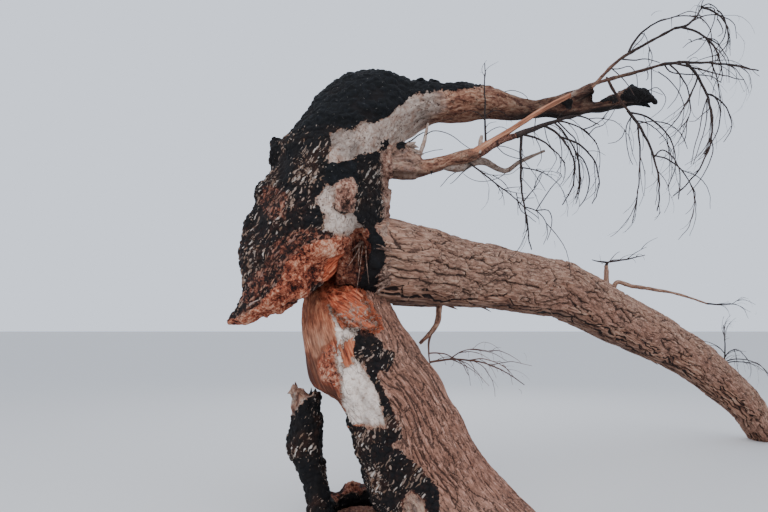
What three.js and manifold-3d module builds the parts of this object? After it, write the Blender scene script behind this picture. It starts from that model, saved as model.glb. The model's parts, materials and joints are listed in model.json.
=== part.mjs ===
// A dead broadleaf tree, broken and burnt, as it stands rooted in level ground.
// A leaning stump with a burnt-out foot carries a charred, torn head at about two metres.
// The rest of the trunk hangs from the head and runs down to the ground on the right, away from
// the viewer, and two boughs with bare drooping twigs reach out above it.
// Millimetres, +Z up, +X to the viewer's right, +Y away from the viewer.
// The origin is the middle of the stump's flat cut at ground level.
import * as THREE from "three";
import { mergeVertices } from "three/addons/utils/BufferGeometryUtils.js";
import Module from "manifold-3d";

const wasm = await Module();
wasm.setup();

const SEAT_GAP = 0.4; // clearance between pieces that touch on the real tree
const DEGREE = Math.PI / 180;

// Upright bodies: each row is [height, left, right, front, back] of one level section.
const STUMP_ROWS = [
  [0, -600, 600, -560, 540],
  [130, -720, 480, -520, 500],
  [360, -860, 250, -450, 450],
  [600, -960, 80, -420, 420],
  [850, -1010, -50, -410, 410],
  [1000, -1080, -145, -400, 400],
  [1120, -1265, -200, -390, 400],
  [1420, -1345, -380, -360, 400],
  [1640, -1355, -545, -310, 390],
  [1840, -1340, -660, -220, 380],
  [1960, -1325, -700, -60, 370],
  [2240, -1280, -760, 60, 350],
];
const STUB_ROWS = [
  [0, -1330, -1075, -150, 190],
  [140, -1310, -1095, -120, 180],
  [340, -1330, -1125, -100, 180],
  [460, -1395, -1145, -90, 180],
  [600, -1470, -1170, -100, 170],
  [850, -1462, -1170, -100, 150],
  [980, -1450, -1225, -70, 120],
  [1085, -1395, -1320, -20, 60],
];
const HEAD_ROWS = [
  [1605, -1885, -1800, -330, -250],
  [1700, -1850, -1500, -400, -140],
  [1820, -1795, -1270, -450, -90],
  [1950, -1800, -1140, -470, 30],
  [2080, -1845, -990, -480, 240],
  [2220, -1868, -720, -490, 400],
  [2400, -1835, -665, -500, 450],
  [2570, -1775, -648, -490, 470],
  [2760, -1715, -645, -470, 470],
  [2930, -1625, -630, -450, 450],
  [3090, -1590, -600, -430, 430],
  [3250, -1470, -520, -400, 390],
  [3420, -1355, -420, -350, 340],
  [3570, -1255, -410, -290, 280],
  [3700, -1075, -470, -210, 200],
  [3772, -870, -630, -100, 100],
];
const HEAD_KNOB = { at: [-1590, -40, 3105], size: [70, 120, 75] };
const HEAD_CHEEK = { at: [-1640, -90, 2655], size: [115, 230, 120] };
// The open split between the torn head and the log.
const SPLIT = { at: [-880, -390, 2150], size: [105, 230, 210] };
const HOLLOW = { at: [-1040, 20, 360], size: [290, 240, 690] };
const RIM_ROWS = [
  [-1150, 205, 60, 110],
  [-1080, 370, 95, 115],
  [-860, 470, 110, 125],
  [-500, 420, 130, 135],
];
const HOLLOW_FLOOR = { at: [-840, 60, 0], size: [320, 320, 100] };

// Limbs: each row is [x, y, z, radius] of one square-on section.
const LOG_LOWER_ROWS = [
  [-1050, 10, 2190, 300],
  [-640, 70, 2140, 345],
  [-30, 540, 2085, 318],
  [620, 1040, 2050, 305],
  [1230, 1500, 1985, 312],
  [1700, 1860, 1840, 314],
];
const LOG_UPPER_ROWS = [
  [1700, 1860, 1840, 312],
  [2520, 2450, 1540, 300],
  [3250, 2900, 1260, 280],
  [3900, 3270, 880, 255],
  [4400, 3500, 490, 235],
  [4760, 3640, 60, 210],
];
const UPPER_BOUGH_ROWS = [
  [-900, 60, 3110, 260],
  [-620, 40, 3380, 245],
  [-370, 30, 3485, 208],
  [-100, 20, 3515, 168],
  [180, 10, 3508, 148],
];
const UPPER_TIP_ROWS = [
  [180, 10, 3508, 146],
  [330, 5, 3478, 115],
  [500, 0, 3450, 92],
  [840, -10, 3446, 83],
  [1140, -20, 3468, 70],
];
const CHARRED_END_ROWS = [
  [1140, -20, 3468, 69],
  [1300, -25, 3500, 68],
  [1450, -30, 3548, 82],
  [1580, -30, 3542, 56],
  [1675, -30, 3500, 9],
];
const LOWER_BOUGH_ROWS = [
  [-860, -60, 2880, 110],
  [-640, -90, 2915, 108],
  [-430, -110, 2905, 96],
  [-350, -115, 2895, 62],
  [-180, -135, 2930, 60],
  [30, -170, 2975, 64],
];
const POLE_ROWS = [
  [30, -170, 2985, 38],
  [320, -240, 3150, 24],
  [620, -330, 3325, 22],
  [850, -380, 3430, 20],
  [1000, -400, 3500, 17],
  [1330, -420, 3590, 14],
  [1560, -430, 3655, 11],
];
const SECOND_POLE_ROWS = [
  [150, -190, 3010, 26],
  [260, -222, 3080, 27],
  [400, -248, 3125, 24],
];
const GREY_FORK_ROWS = [
  [-60, -130, 2890, 42],
  [60, -100, 2945, 38],
  [170, -60, 2960, 32],
  [300, -40, 2900, 24],
  [370, -40, 2893, 21],
  [470, -70, 2960, 17],
  [670, -110, 3042, 10],
];
const STRUT_ROWS = [
  [-400, -70, 2960, 24],
  [-335, -40, 3150, 16],
  [-300, -10, 3320, 12],
];
const SPUR_ROWS = [
  [110, -200, 3020, 20],
  [118, -205, 3100, 17],
  [125, -205, 3140, 11],
];
const UP_LEADER_ROWS = [
  [1000, -400, 3490, 15],
  [1200, -390, 3695, 14],
  [1440, -370, 3850, 12],
  [1700, -350, 4000, 10],
];
const DOWN_LEADER_ROWS = [
  [1110, -405, 3530, 11],
  [1155, -420, 3415, 11],
  [1240, -435, 3265, 9],
];
const PRONG_ROWS = [
  [-165, 470, 1900, 36],
  [-180, 450, 1745, 30],
  [-195, 440, 1630, 27],
  [-250, 420, 1540, 24],
  [-360, 400, 1430, 15],
];
const LOG_SPUR_ROWS = [
  [1990, 2130, 1950, 38],
  [2000, 2100, 2200, 30],
  [1995, 2080, 2320, 22],
];
const LOG_SIDE_ROWS = [
  [2060, 2140, 1900, 30],
  [2110, 2090, 2110, 27],
  [2300, 2080, 2070, 24],
  [2530, 2060, 2032, 20],
  [2830, 2040, 1970, 15],
  [3140, 2020, 1860, 10],
];

// Bare twigs: rise0 and rise1 are the angles above level at root and tip in degrees, past -90 when a
// drooping tip swings back, yaw is the heading in plan, and at is the place along the parent, 0 to 1.
const twig = (at, rise0, rise1, length, yaw, radius, children = []) => ({
  at,
  rise0,
  rise1,
  length,
  yaw,
  radius,
  children,
});
const CROWNS = {
  twigs_top: {
    root: [1700, -350, 4000],
    stem: twig(0, 8, 70, 340, 4, 9, [
      twig(0.97, 52, -120, 240, 10, 4),
      twig(0.94, -5, -150, 560, 0, 6, [twig(0.5, -60, -125, 260, 30, 3)]),
      twig(0.18, -12, -106, 620, -4, 7, [
        twig(0.34, -2, -104, 420, 16, 4),
        twig(0.34, -165, -140, 240, 10, 4),
        twig(0.5, 0, -112, 380, 30, 3),
      ]),
      twig(0.5, 30, -100, 460, -24, 4),
    ]),
    fine: { count: 5, length: [220, 420], droop: 95, seed: 11 },
  },
  twigs_arch: {
    root: [1290, -383, 3757],
    stem: twig(0, 70, -18, 740, -4, 7, [
      twig(0.28, 36, -60, 300, 50, 3),
      twig(0.86, -10, -112, 330, -10, 4),
    ]),
    fine: { count: 3, length: [160, 300], droop: 80, seed: 23 },
  },
  twigs_out: {
    root: [1560, -430, 3655],
    stem: twig(0, 8, -14, 770, 3, 10, [
      twig(0.1, -24, -20, 520, -14, 6),
      twig(0.05, -30, -128, 600, 12, 5),
      twig(0.23, -50, -148, 1240, 0, 8, [
        twig(0.24, -4, -140, 520, 10, 5),
        twig(0.3, -84, -118, 450, 12, 4),
        twig(0.33, -80, -126, 440, -20, 4),
        twig(0.12, -112, -138, 640, 8, 5),
      ]),
      twig(0.5, -40, -100, 420, 40, 4),
      twig(0.7, -10, -60, 240, -30, 3),
    ]),
    fine: { count: 7, length: [240, 520], droop: 85, seed: 37 },
  },
  twigs_hang: {
    root: [1240, -435, 3265],
    stem: twig(0, -52, -101, 850, 0, 9, [
      twig(0.03, -2, -128, 800, 4, 6),
      twig(0.15, -86, -106, 800, -4, 6),
      twig(0.48, -6, -116, 660, 4, 5),
      twig(0.12, 8, -74, 520, 24, 4),
      twig(0.06, -104, -70, 420, -30, 3),
    ]),
    fine: { count: 7, length: [220, 480], droop: 80, seed: 41 },
  },
  twigs_mid: {
    root: [400, -248, 3125],
    stem: twig(0, 22, 16, 470, -6, 20, [
      twig(0.1, -14, -62, 440, -10, 8),
      twig(0.12, -96, -78, 960, -4, 9, [
        twig(0.3, -2, -28, 270, 8, 5),
        twig(0.64, -8, -122, 400, -16, 4),
        twig(0.6, 50, 62, 280, -10, 4),
      ]),
      twig(0.5, -26, -132, 780, -2, 8, [twig(0.22, -12, -124, 700, -4, 7)]),
      twig(0.68, -38, -114, 750, 10, 6),
      twig(0.72, -6, -62, 390, -12, 6, [twig(0.6, 14, 48, 210, -10, 4)]),
      twig(0.96, 10, -40, 260, 8, 7),
    ]),
    fine: { count: 12, length: [220, 520], droop: 90, seed: 53 },
  },
  twigs_low: {
    root: [20, -165, 2925],
    stem: twig(0, -40, -43, 730, -6, 6, [
      twig(0.06, -50, 46, 470, -10, 3),
      twig(0.05, -134, -141, 250, 8, 4),
      twig(0.5, -12, 6, 230, 24, 3),
    ]),
    fine: { count: 3, length: [150, 280], droop: 60, seed: 61 },
  },
  twigs_upright: {
    root: [160, -203, 3052],
    stem: twig(0, 91, 88, 720, 0, 7, [
      twig(0.36, 50, -60, 300, 20, 3),
      twig(0.3, 70, -30, 300, 150, 3),
    ]),
    fine: { count: 0, length: [100, 200], droop: 60, seed: 67 },
  },
  twigs_prong: {
    root: [-250, 420, 1540],
    stem: twig(0, -114, -74, 290, 0, 9, [
      twig(0.95, 14, -40, 880, -3, 7, [
        twig(0.2, 40, -20, 420, -24, 4),
        twig(0.4, 12, -50, 480, 16, 4),
        twig(0.62, 20, -20, 360, -12, 3),
      ]),
      twig(0.7, 10, -60, 500, 24, 5),
    ]),
    fine: { count: 7, length: [200, 480], droop: 50, seed: 71 },
  },
  twigs_spur: {
    root: [1995, 2080, 2320],
    stem: twig(0, 70, 20, 70, 0, 14, [
      twig(0.9, 8, 14, 440, 2, 9, [twig(0.5, 40, 20, 260, -30, 4)]),
      twig(0.6, 172, 168, 190, 0, 10),
      twig(0.9, 50, 20, 240, 30, 4),
    ]),
    fine: { count: 2, length: [120, 240], droop: 40, seed: 83 },
  },
  twigs_side: {
    root: [3140, 2020, 1860],
    stem: twig(0, -8, 6, 330, -2, 8, [
      twig(0.3, 12, -18, 330, 8, 4),
      twig(0.85, 38, 20, 170, -10, 3),
    ]),
    fine: { count: 3, length: [160, 300], droop: 50, seed: 89 },
  },
  twigs_end: {
    root: [4030, 3300, 1060],
    stem: twig(0, 74, 98, 560, 10, 9, [
      twig(0.2, 50, -60, 560, 24, 6, [twig(0.4, 0, -70, 320, 50, 4)]),
      twig(0.1, 30, -70, 640, -24, 6, [twig(0.5, -10, -90, 340, -50, 4)]),
      twig(0.3, 60, -20, 480, 130, 5),
      twig(0.06, 20, -40, 560, -4, 6),
    ]),
    fine: { count: 8, length: [220, 460], droop: 70, seed: 97 },
  },
};
const TWIG_SIDES = 3;
const TWIG_STEP = 110; // length of one straight piece of a twig
const TWIG_TIP = 0.42; // tip radius over root radius
const TWIG_CLEARANCE = 5; // least height of a twig's underside above the ground
// The fine twigs of a crown: where they start on their parent, how far they tilt and turn from it
// in degrees, and the steepest angle that their tips reach.
const FINE = { radius: 3, from: 0.2, span: 0.7, tilt: 50, lift: 0.35, turn: 130, steepest: -150 };

const WELD = 1e-3; // points closer than this are one
const CURVE_STEP = 1e-3; // share of a limb over which its direction is measured
const LUMP_SEGMENTS = [12, 8]; // around, and from pole to pole
const GROUND_SIZE = [20000, 4000]; // across, and deep

// The finish of each kind of surface: colour, roughness.
const MATERIALS = {
  bark: ["#8c7668", 0.95],
  charred_wood: ["#1f1d1f", 0.9],
  weathered_wood: ["#b3a79d", 0.85],
  rotten_wood: ["#86503c", 0.95],
  peeled_wood: ["#a5744f", 0.8],
  dark_bark: ["#4d4240", 0.85],
  twigs: ["#473f3e", 0.85],
};

// A value that runs smoothly through the rows of a table, t from 0 at the first row to 1 at the last.
function rowAt(rows, t) {
  const place = Math.min(Math.max(t, 0), 1) * (rows.length - 1);
  const i = Math.min(Math.floor(place), rows.length - 2);
  const u = place - i;
  const before = rows[Math.max(i - 1, 0)];
  const after = rows[Math.min(i + 2, rows.length - 1)];
  return rows[i].map((b, k) => {
    const [a, c, d] = [before[k], rows[i + 1][k], after[k]];
    const bend = u * (c - a + u * (2 * a - 5 * b + 4 * c - d + u * (3 * (b - c) + d - a)));
    return b + bend / 2;
  });
}

// Low swellings round a section, so that no limb is perfectly round.
function swelling(angle, t, seed, depth) {
  const two = Math.cos(2 * angle + seed + 2.3 * t);
  const three = Math.cos(3 * angle + 1.7 * seed - 3.1 * t);
  const five = Math.cos(5 * angle + 2.9 * seed + 4.3 * t);
  return 1 + depth * (0.5 * two + 0.3 * three + 0.2 * five);
}

function solidOf(geometry) {
  geometry.deleteAttribute("normal");
  geometry.deleteAttribute("uv");
  const merged = mergeVertices(geometry, WELD);
  return new wasm.Manifold(
    new wasm.Mesh({
      numProp: 3,
      vertProperties: merged.attributes.position.array,
      triVerts: new Uint32Array(merged.index.array),
    }),
  );
}

// A closed body through sections: place(t, angle, reach) gives the point of each vertex.
function body(sides, steps, place) {
  const geometry = new THREE.CylinderGeometry(1, 1, 1, sides, steps);
  const points = geometry.getAttribute("position");
  for (let i = 0; i < points.count; i++) {
    const [x, y, z] = [points.getX(i), points.getY(i), points.getZ(i)];
    const p = place(y + 0.5, Math.atan2(z, x), Math.hypot(x, z));
    points.setXYZ(i, p.x, p.y, p.z);
  }
  return solidOf(geometry);
}

// A body of level sections, from rows of [height, left, right, front, back].
function uprightBody({ rows, sides, steps, seed, depth, grow = 0 }) {
  return body(sides, steps, (t, angle, reach) => {
    const [height, left, right, front, back] = rowAt(rows, t);
    const swell = reach * swelling(angle, t, seed, depth);
    const across = (right - left) / 2 + grow;
    const deep = (back - front) / 2 + grow;
    const lift = t === 0 ? -grow : t === 1 ? grow : 0;
    return new THREE.Vector3(
      (left + right) / 2 + across * swell * Math.cos(angle),
      (front + back) / 2 - deep * swell * Math.sin(angle),
      height + lift,
    );
  });
}

// A limb of square-on sections, from rows of [x, y, z, radius].
const FRONT = new THREE.Vector3(0.08, -0.99, 0.12).normalize();
function limb({ rows, sides, steps, seed = 0, depth = 0, grow = 0 }) {
  return body(sides, steps, (t, angle, reach) => {
    const [x, y, z, radius] = rowAt(rows, t);
    const ahead = new THREE.Vector3(...rowAt(rows, Math.min(t + CURVE_STEP, 1)));
    const behind = new THREE.Vector3(...rowAt(rows, Math.max(t - CURVE_STEP, 0)));
    const along = ahead.sub(behind).normalize();
    const across = along.clone().cross(FRONT).normalize();
    const deep = across.clone().cross(along);
    const r = (radius + grow) * reach * swelling(angle, t, seed, depth);
    const lift = t === 0 ? -grow : t === 1 ? grow : 0;
    return new THREE.Vector3(x, y, z)
      .addScaledVector(along, lift)
      .addScaledVector(across, r * Math.cos(angle))
      .addScaledVector(deep, r * Math.sin(angle));
  });
}

function lump({ at, size, grow = 0 }) {
  const ball = new THREE.SphereGeometry(1, ...LUMP_SEGMENTS);
  ball.scale(size[0] + grow, size[1] + grow, size[2] + grow);
  ball.translate(...at);
  return solidOf(ball);
}

const [groundWide, groundDeep] = GROUND_SIZE;
const ground = solidOf(
  new THREE.BoxGeometry(groundWide, groundWide, groundDeep).translate(0, 0, -groundDeep / 2),
);
const onGround = (solid) => solid.subtract(ground);

// The largest of the separate bodies that a cut leaves.
function mainBody(solid) {
  return solid.decompose().sort((a, b) => b.volume() - a.volume())[0];
}
const clearOf = (solid, ...others) =>
  mainBody(others.reduce((left, other) => left.subtract(other), solid));

// The path of a twig as limb rows: it turns evenly from its root angle to its tip angle.
function twigRows(root, { rise0, rise1, length, yaw, radius }) {
  const pieces = Math.max(3, Math.round(length / TWIG_STEP));
  const rows = [[...root, radius]];
  const p = new THREE.Vector3(...root);
  for (let i = 0; i < pieces; i++) {
    const rise = (rise0 + ((rise1 - rise0) * (i + 0.5)) / pieces) * DEGREE;
    const heading = yaw * DEGREE;
    const step = length / pieces;
    p.x += step * Math.cos(rise) * Math.cos(heading);
    p.y += step * Math.cos(rise) * Math.sin(heading);
    p.z += step * Math.sin(rise);
    const slim = 1 - (1 - TWIG_TIP) * ((i + 1) / pieces);
    rows.push([p.x, p.y, p.z, radius * slim]);
  }
  return rows;
}

// A repeatable stream of numbers from 0 to 1.
function stream(seed) {
  let state = seed * 7919;
  return () => {
    state = (state * 16807 + 11) % 2147483647;
    return state / 2147483647;
  };
}

// Every twig of a crown as rows: the stem, the named twigs, then the fine twigs by a seeded rule.
function crownRows({ root, stem, fine }) {
  const all = [];
  const grow = (start, spec) => {
    const rows = twigRows(start, spec);
    all.push({ rows, spec });
    for (const child of spec.children) {
      grow(rowAt(rows, child.at).slice(0, 3), child);
    }
  };
  grow(root, stem);
  const random = stream(fine.seed);
  const parents = [...all];
  for (let i = 0; i < fine.count; i++) {
    const parent = parents[Math.floor(random() * parents.length)];
    const at = FINE.from + FINE.span * random();
    const rise = parent.spec.rise0 + (parent.spec.rise1 - parent.spec.rise0) * at;
    const rise0 = rise + FINE.tilt * (random() - FINE.lift);
    const spec = twig(
      at,
      rise0,
      Math.max(rise0 - fine.droop * (0.5 + random()), FINE.steepest),
      fine.length[0] + (fine.length[1] - fine.length[0]) * random(),
      parent.spec.yaw + FINE.turn * (random() - 0.5),
      FINE.radius,
    );
    const rows = twigRows(rowAt(parent.rows, at).slice(0, 3), spec);
    all.push({ rows, spec });
  }
  return all.map((one) => one.rows);
}

// One crown as one solid: its stem starts at the seat gap from the bough, and a twig that would
// touch a limb, or dip below the ground, is left out.
function crown(spec, limbs) {
  const [stemRows, ...twigs] = crownRows(spec);
  const tube = (rows, grow = 0) =>
    limb({ rows, sides: TWIG_SIDES, steps: rows.length - 1, grow });
  let whole = clearOf(tube(stemRows), ...limbs);
  for (const rows of twigs) {
    if (rows.some((row) => row[2] < row[3] + TWIG_CLEARANCE)) continue;
    const one = tube(rows);
    if (limbs.some((other) => one.intersect(other).volume() > 0)) continue;
    const joined = whole.add(one);
    if (joined.decompose().length === 1) whole = joined;
  }
  return whole;
}

const tree = new THREE.Group();
const finishes = Object.fromEntries(
  Object.entries(MATERIALS).map(([name, [color, roughness]]) => [
    name,
    new THREE.MeshStandardMaterial({ name, color, roughness, metalness: 0 }),
  ]),
);
function add(name, finish, solid) {
  const { numProp, vertProperties, triVerts } = solid.getMesh();
  const points = new Float32Array((vertProperties.length / numProp) * 3);
  for (let i = 0; i * 3 < points.length; i++) {
    points.set(vertProperties.subarray(i * numProp, i * numProp + 3), i * 3);
  }
  const geometry = new THREE.BufferGeometry();
  geometry.setAttribute("position", new THREE.BufferAttribute(points, 3));
  geometry.setIndex(new THREE.BufferAttribute(triVerts, 1));
  const mesh = new THREE.Mesh(geometry, finishes[finish]);
  mesh.name = name;
  tree.add(mesh);
}

// The charred head, and the same body grown by the seat gap for cutting what grows out of it.
const split = lump(SPLIT);
const head = (grow = 0) =>
  uprightBody({ rows: HEAD_ROWS, sides: 22, steps: 24, seed: 1.3, depth: 0.04, grow })
    .add(lump({ ...HEAD_KNOB, grow }))
    .add(lump({ ...HEAD_CHEEK, grow }));
const headRoom = head(SEAT_GAP);

// The stump, with its left face burnt hollow.
const stumpShape = (grow = 0) =>
  uprightBody({ rows: STUMP_ROWS, sides: 22, steps: 18, seed: 0.4, depth: 0.05, grow })
    .subtract(lump({ ...HOLLOW, grow: -grow }));
const stump = clearOf(onGround(stumpShape()), headRoom, split);
const stumpRoom = stumpShape(SEAT_GAP);

const stubShape = (grow = 0) =>
  uprightBody({ rows: STUB_ROWS, sides: 12, steps: 12, seed: 2.2, depth: 0.12, grow });
const stubRoom = stubShape(SEAT_GAP);

// A low remnant of the trunk's back wall, which joins the charred stub to the stump.
const rimWall = (grow = 0) =>
  limb({ rows: RIM_ROWS, sides: 10, steps: 12, seed: 0.9, depth: 0.15, grow });
const rim = clearOf(onGround(rimWall()), stumpRoom, stubRoom);
const hollowFloor = clearOf(
  onGround(lump(HOLLOW_FLOOR)),
  stumpRoom,
  stubRoom,
  rimWall(SEAT_GAP),
);

const logLower = { rows: LOG_LOWER_ROWS, sides: 18, steps: 20, seed: 0.6, depth: 0.05 };
const logUpper = { rows: LOG_UPPER_ROWS, sides: 18, steps: 20, seed: 0.6, depth: 0.05 };
const upperBough = { rows: UPPER_BOUGH_ROWS, sides: 16, steps: 14, seed: 1.9, depth: 0.06 };
const upperTip = { rows: UPPER_TIP_ROWS, sides: 12, steps: 9, seed: 1.1, depth: 0.06 };
const charredEnd = { rows: CHARRED_END_ROWS, sides: 8, steps: 8, seed: 0.3, depth: 0.2 };
const lowerBough = { rows: LOWER_BOUGH_ROWS, sides: 12, steps: 14, seed: 2.6, depth: 0.09 };
const pole = { rows: POLE_ROWS, sides: 8, steps: 14, seed: 0.2, depth: 0.03 };
const secondPole = { rows: SECOND_POLE_ROWS, sides: 8, steps: 5, seed: 0.7, depth: 0.05 };
const greyFork = { rows: GREY_FORK_ROWS, sides: 8, steps: 14, seed: 1.4, depth: 0.05 };
const strut = { rows: STRUT_ROWS, sides: 7, steps: 5, seed: 0.5, depth: 0.05 };
const spur = { rows: SPUR_ROWS, sides: 7, steps: 3, seed: 0.5, depth: 0.05 };
const upLeader = { rows: UP_LEADER_ROWS, sides: 7, steps: 8, seed: 0.1, depth: 0.03 };
const downLeader = { rows: DOWN_LEADER_ROWS, sides: 7, steps: 7, seed: 0.8, depth: 0.03 };
const prong = { rows: PRONG_ROWS, sides: 8, steps: 7, seed: 0.9, depth: 0.05 };
const logSpur = { rows: LOG_SPUR_ROWS, sides: 8, steps: 5, seed: 1.2, depth: 0.05 };
const logSide = { rows: LOG_SIDE_ROWS, sides: 8, steps: 10, seed: 1.8, depth: 0.05 };

const room = (spec) => limb({ ...spec, grow: SEAT_GAP });
const logRoom = [room(logLower), room(logUpper)];

add("stump", "bark", stump);
add("charred_stub", "charred_wood", onGround(stubShape()));
add("hollow_rim", "rotten_wood", rim);
add("hollow_floor", "rotten_wood", hollowFloor);
add("broken_head", "charred_wood", clearOf(head(), split));
add("log_lower", "bark", clearOf(limb(logLower), headRoom, stumpRoom, split));
add("log_upper", "bark", onGround(clearOf(limb(logUpper), room(logLower))));
add("upper_bough", "weathered_wood", clearOf(limb(upperBough), headRoom));
add("upper_bough_tip", "peeled_wood", clearOf(limb(upperTip), room(upperBough)));
add("charred_end", "charred_wood", clearOf(limb(charredEnd), room(upperTip)));
add("lower_bough", "rotten_wood", clearOf(limb(lowerBough), headRoom));
add("pole", "peeled_wood", clearOf(limb(pole), room(lowerBough)));
add("grey_fork", "weathered_wood", clearOf(limb(greyFork), room(lowerBough), room(pole)));
add(
  "second_pole",
  "rotten_wood",
  clearOf(limb(secondPole), room(pole), room(greyFork), room(lowerBough)),
);
add("strut", "weathered_wood", clearOf(limb(strut), room(lowerBough), room(upperBough)));
add("spur", "weathered_wood", clearOf(limb(spur), room(pole), room(secondPole)));
add("up_leader", "dark_bark", clearOf(limb(upLeader), room(pole)));
add("down_leader", "dark_bark", clearOf(limb(downLeader), room(pole), room(upLeader)));
add("prong", "peeled_wood", clearOf(limb(prong), ...logRoom, stumpRoom));
add("log_spur", "dark_bark", clearOf(limb(logSpur), ...logRoom));
add("log_side_bough", "dark_bark", clearOf(limb(logSide), ...logRoom, room(logSpur)));

const limbRooms = [
  headRoom,
  stumpRoom,
  stubRoom,
  ...logRoom,
  ...[upperBough, upperTip, charredEnd, lowerBough, pole, secondPole, greyFork].map(room),
  ...[strut, spur, upLeader, downLeader, prong, logSpur, logSide].map(room),
];
const crowns = [];
for (const [name, spec] of Object.entries(CROWNS)) {
  const solid = crown(spec, [...limbRooms, ...crowns]);
  crowns.push(solid);
  add(name, "twigs", solid);
}

export default tree;
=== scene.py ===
# %% [markdown]
# # A burnt, broken dead tree
#
# An old broadleaf tree burnt, rotted and broke about two metres up. What stands is a leaning
# stump with a burnt-out foot, and on it a charred, torn head with two bare boughs. The rest of
# the trunk hangs from the head and runs down to the ground on the right.
#
# The frame holds the same tree as plain solids. Each step below makes one part of the tree with
# its relief and its colours, in the place of its solid. Everything is in metres, with +Z up, and
# the origin in the middle of the stump's foot.

# %% The frame
import itertools
import json
import math

import bmesh
import bpy
import numpy as np
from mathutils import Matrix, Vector
from mathutils.bvhtree import BVHTree

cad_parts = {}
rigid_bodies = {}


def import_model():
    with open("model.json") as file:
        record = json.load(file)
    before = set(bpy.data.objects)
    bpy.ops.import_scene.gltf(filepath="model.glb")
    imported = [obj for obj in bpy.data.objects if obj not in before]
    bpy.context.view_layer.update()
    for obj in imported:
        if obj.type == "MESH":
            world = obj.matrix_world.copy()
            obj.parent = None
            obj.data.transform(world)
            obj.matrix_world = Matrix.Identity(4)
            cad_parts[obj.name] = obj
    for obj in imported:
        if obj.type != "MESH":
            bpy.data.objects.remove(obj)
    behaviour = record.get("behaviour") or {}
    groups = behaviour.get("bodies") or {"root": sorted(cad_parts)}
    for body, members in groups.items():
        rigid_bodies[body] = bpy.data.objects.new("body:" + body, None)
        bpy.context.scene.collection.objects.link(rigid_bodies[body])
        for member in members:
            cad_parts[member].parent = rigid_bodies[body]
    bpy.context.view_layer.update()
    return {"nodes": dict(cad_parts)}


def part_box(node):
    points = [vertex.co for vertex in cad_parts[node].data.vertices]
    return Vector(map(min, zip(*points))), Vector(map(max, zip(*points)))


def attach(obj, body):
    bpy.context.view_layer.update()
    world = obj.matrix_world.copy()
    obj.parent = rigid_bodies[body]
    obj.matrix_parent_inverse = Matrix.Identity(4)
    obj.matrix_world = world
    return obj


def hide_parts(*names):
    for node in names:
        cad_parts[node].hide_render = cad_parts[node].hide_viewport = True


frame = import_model()
print("solids:", len(frame["nodes"]))

# %% [markdown]
# ## The tree's shape as tables
#
# An upright part is a stack of level sections, and a limb is a row of sections square to its
# middle line. A few sections are enough when a smooth curve runs through them, so each part is
# one small table. Reading all columns through the same curve keeps width, lean and taper in step.

# %% Sections of the upright parts: height, left, right, front, back
STUMP_ROWS = [
    [0, -0.6, 0.6, -0.56, 0.54],
    [0.13, -0.72, 0.48, -0.52, 0.5],
    [0.36, -0.86, 0.25, -0.45, 0.45],
    [0.6, -0.96, 0.08, -0.42, 0.42],
    [0.85, -1.01, -0.05, -0.41, 0.41],
    [1, -1.08, -0.145, -0.4, 0.4],
    [1.12, -1.265, -0.2, -0.39, 0.4],
    [1.42, -1.345, -0.38, -0.36, 0.4],
    [1.64, -1.355, -0.545, -0.31, 0.39],
    [1.84, -1.34, -0.66, -0.22, 0.38],
    [1.96, -1.325, -0.7, -0.06, 0.37],
    [2.24, -1.28, -0.76, 0.06, 0.35],
]
STUB_ROWS = [
    [0, -1.33, -1.075, -0.15, 0.19],
    [0.14, -1.31, -1.095, -0.12, 0.18],
    [0.34, -1.33, -1.125, -0.1, 0.18],
    [0.46, -1.395, -1.145, -0.09, 0.18],
    [0.6, -1.47, -1.17, -0.1, 0.17],
    [0.85, -1.462, -1.17, -0.1, 0.15],
    [0.98, -1.45, -1.225, -0.07, 0.12],
    [1.085, -1.395, -1.32, -0.02, 0.06],
]
HEAD_ROWS = [
    [1.605, -1.885, -1.8, -0.33, -0.25],
    [1.7, -1.85, -1.5, -0.4, -0.14],
    [1.82, -1.795, -1.27, -0.45, -0.09],
    [1.95, -1.8, -1.14, -0.47, 0.03],
    [2.08, -1.845, -0.99, -0.48, 0.24],
    [2.22, -1.868, -0.72, -0.49, 0.4],
    [2.4, -1.835, -0.665, -0.5, 0.45],
    [2.57, -1.775, -0.648, -0.49, 0.47],
    [2.76, -1.715, -0.645, -0.47, 0.47],
    [2.93, -1.625, -0.63, -0.45, 0.45],
    [3.09, -1.59, -0.6, -0.43, 0.43],
    [3.25, -1.47, -0.52, -0.4, 0.39],
    [3.42, -1.355, -0.42, -0.35, 0.34],
    [3.57, -1.255, -0.41, -0.29, 0.28],
    [3.7, -1.075, -0.47, -0.21, 0.2],
    [3.772, -0.87, -0.63, -0.1, 0.1],
]
HEAD_KNOB = {"at": (-1.59, -0.04, 3.105), "size": (0.07, 0.12, 0.075)}
HEAD_CHEEK = {"at": (-1.64, -0.09, 2.655), "size": (0.115, 0.23, 0.12)}
SPLIT = {"at": (-0.88, -0.39, 2.15), "size": (0.105, 0.23, 0.21)}
HOLLOW = {"at": (-1.04, 0.02, 0.36), "size": (0.29, 0.24, 0.69)}
HOLLOW_FLOOR = {"at": (-0.84, 0.06, 0), "size": (0.32, 0.32, 0.1)}

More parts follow.
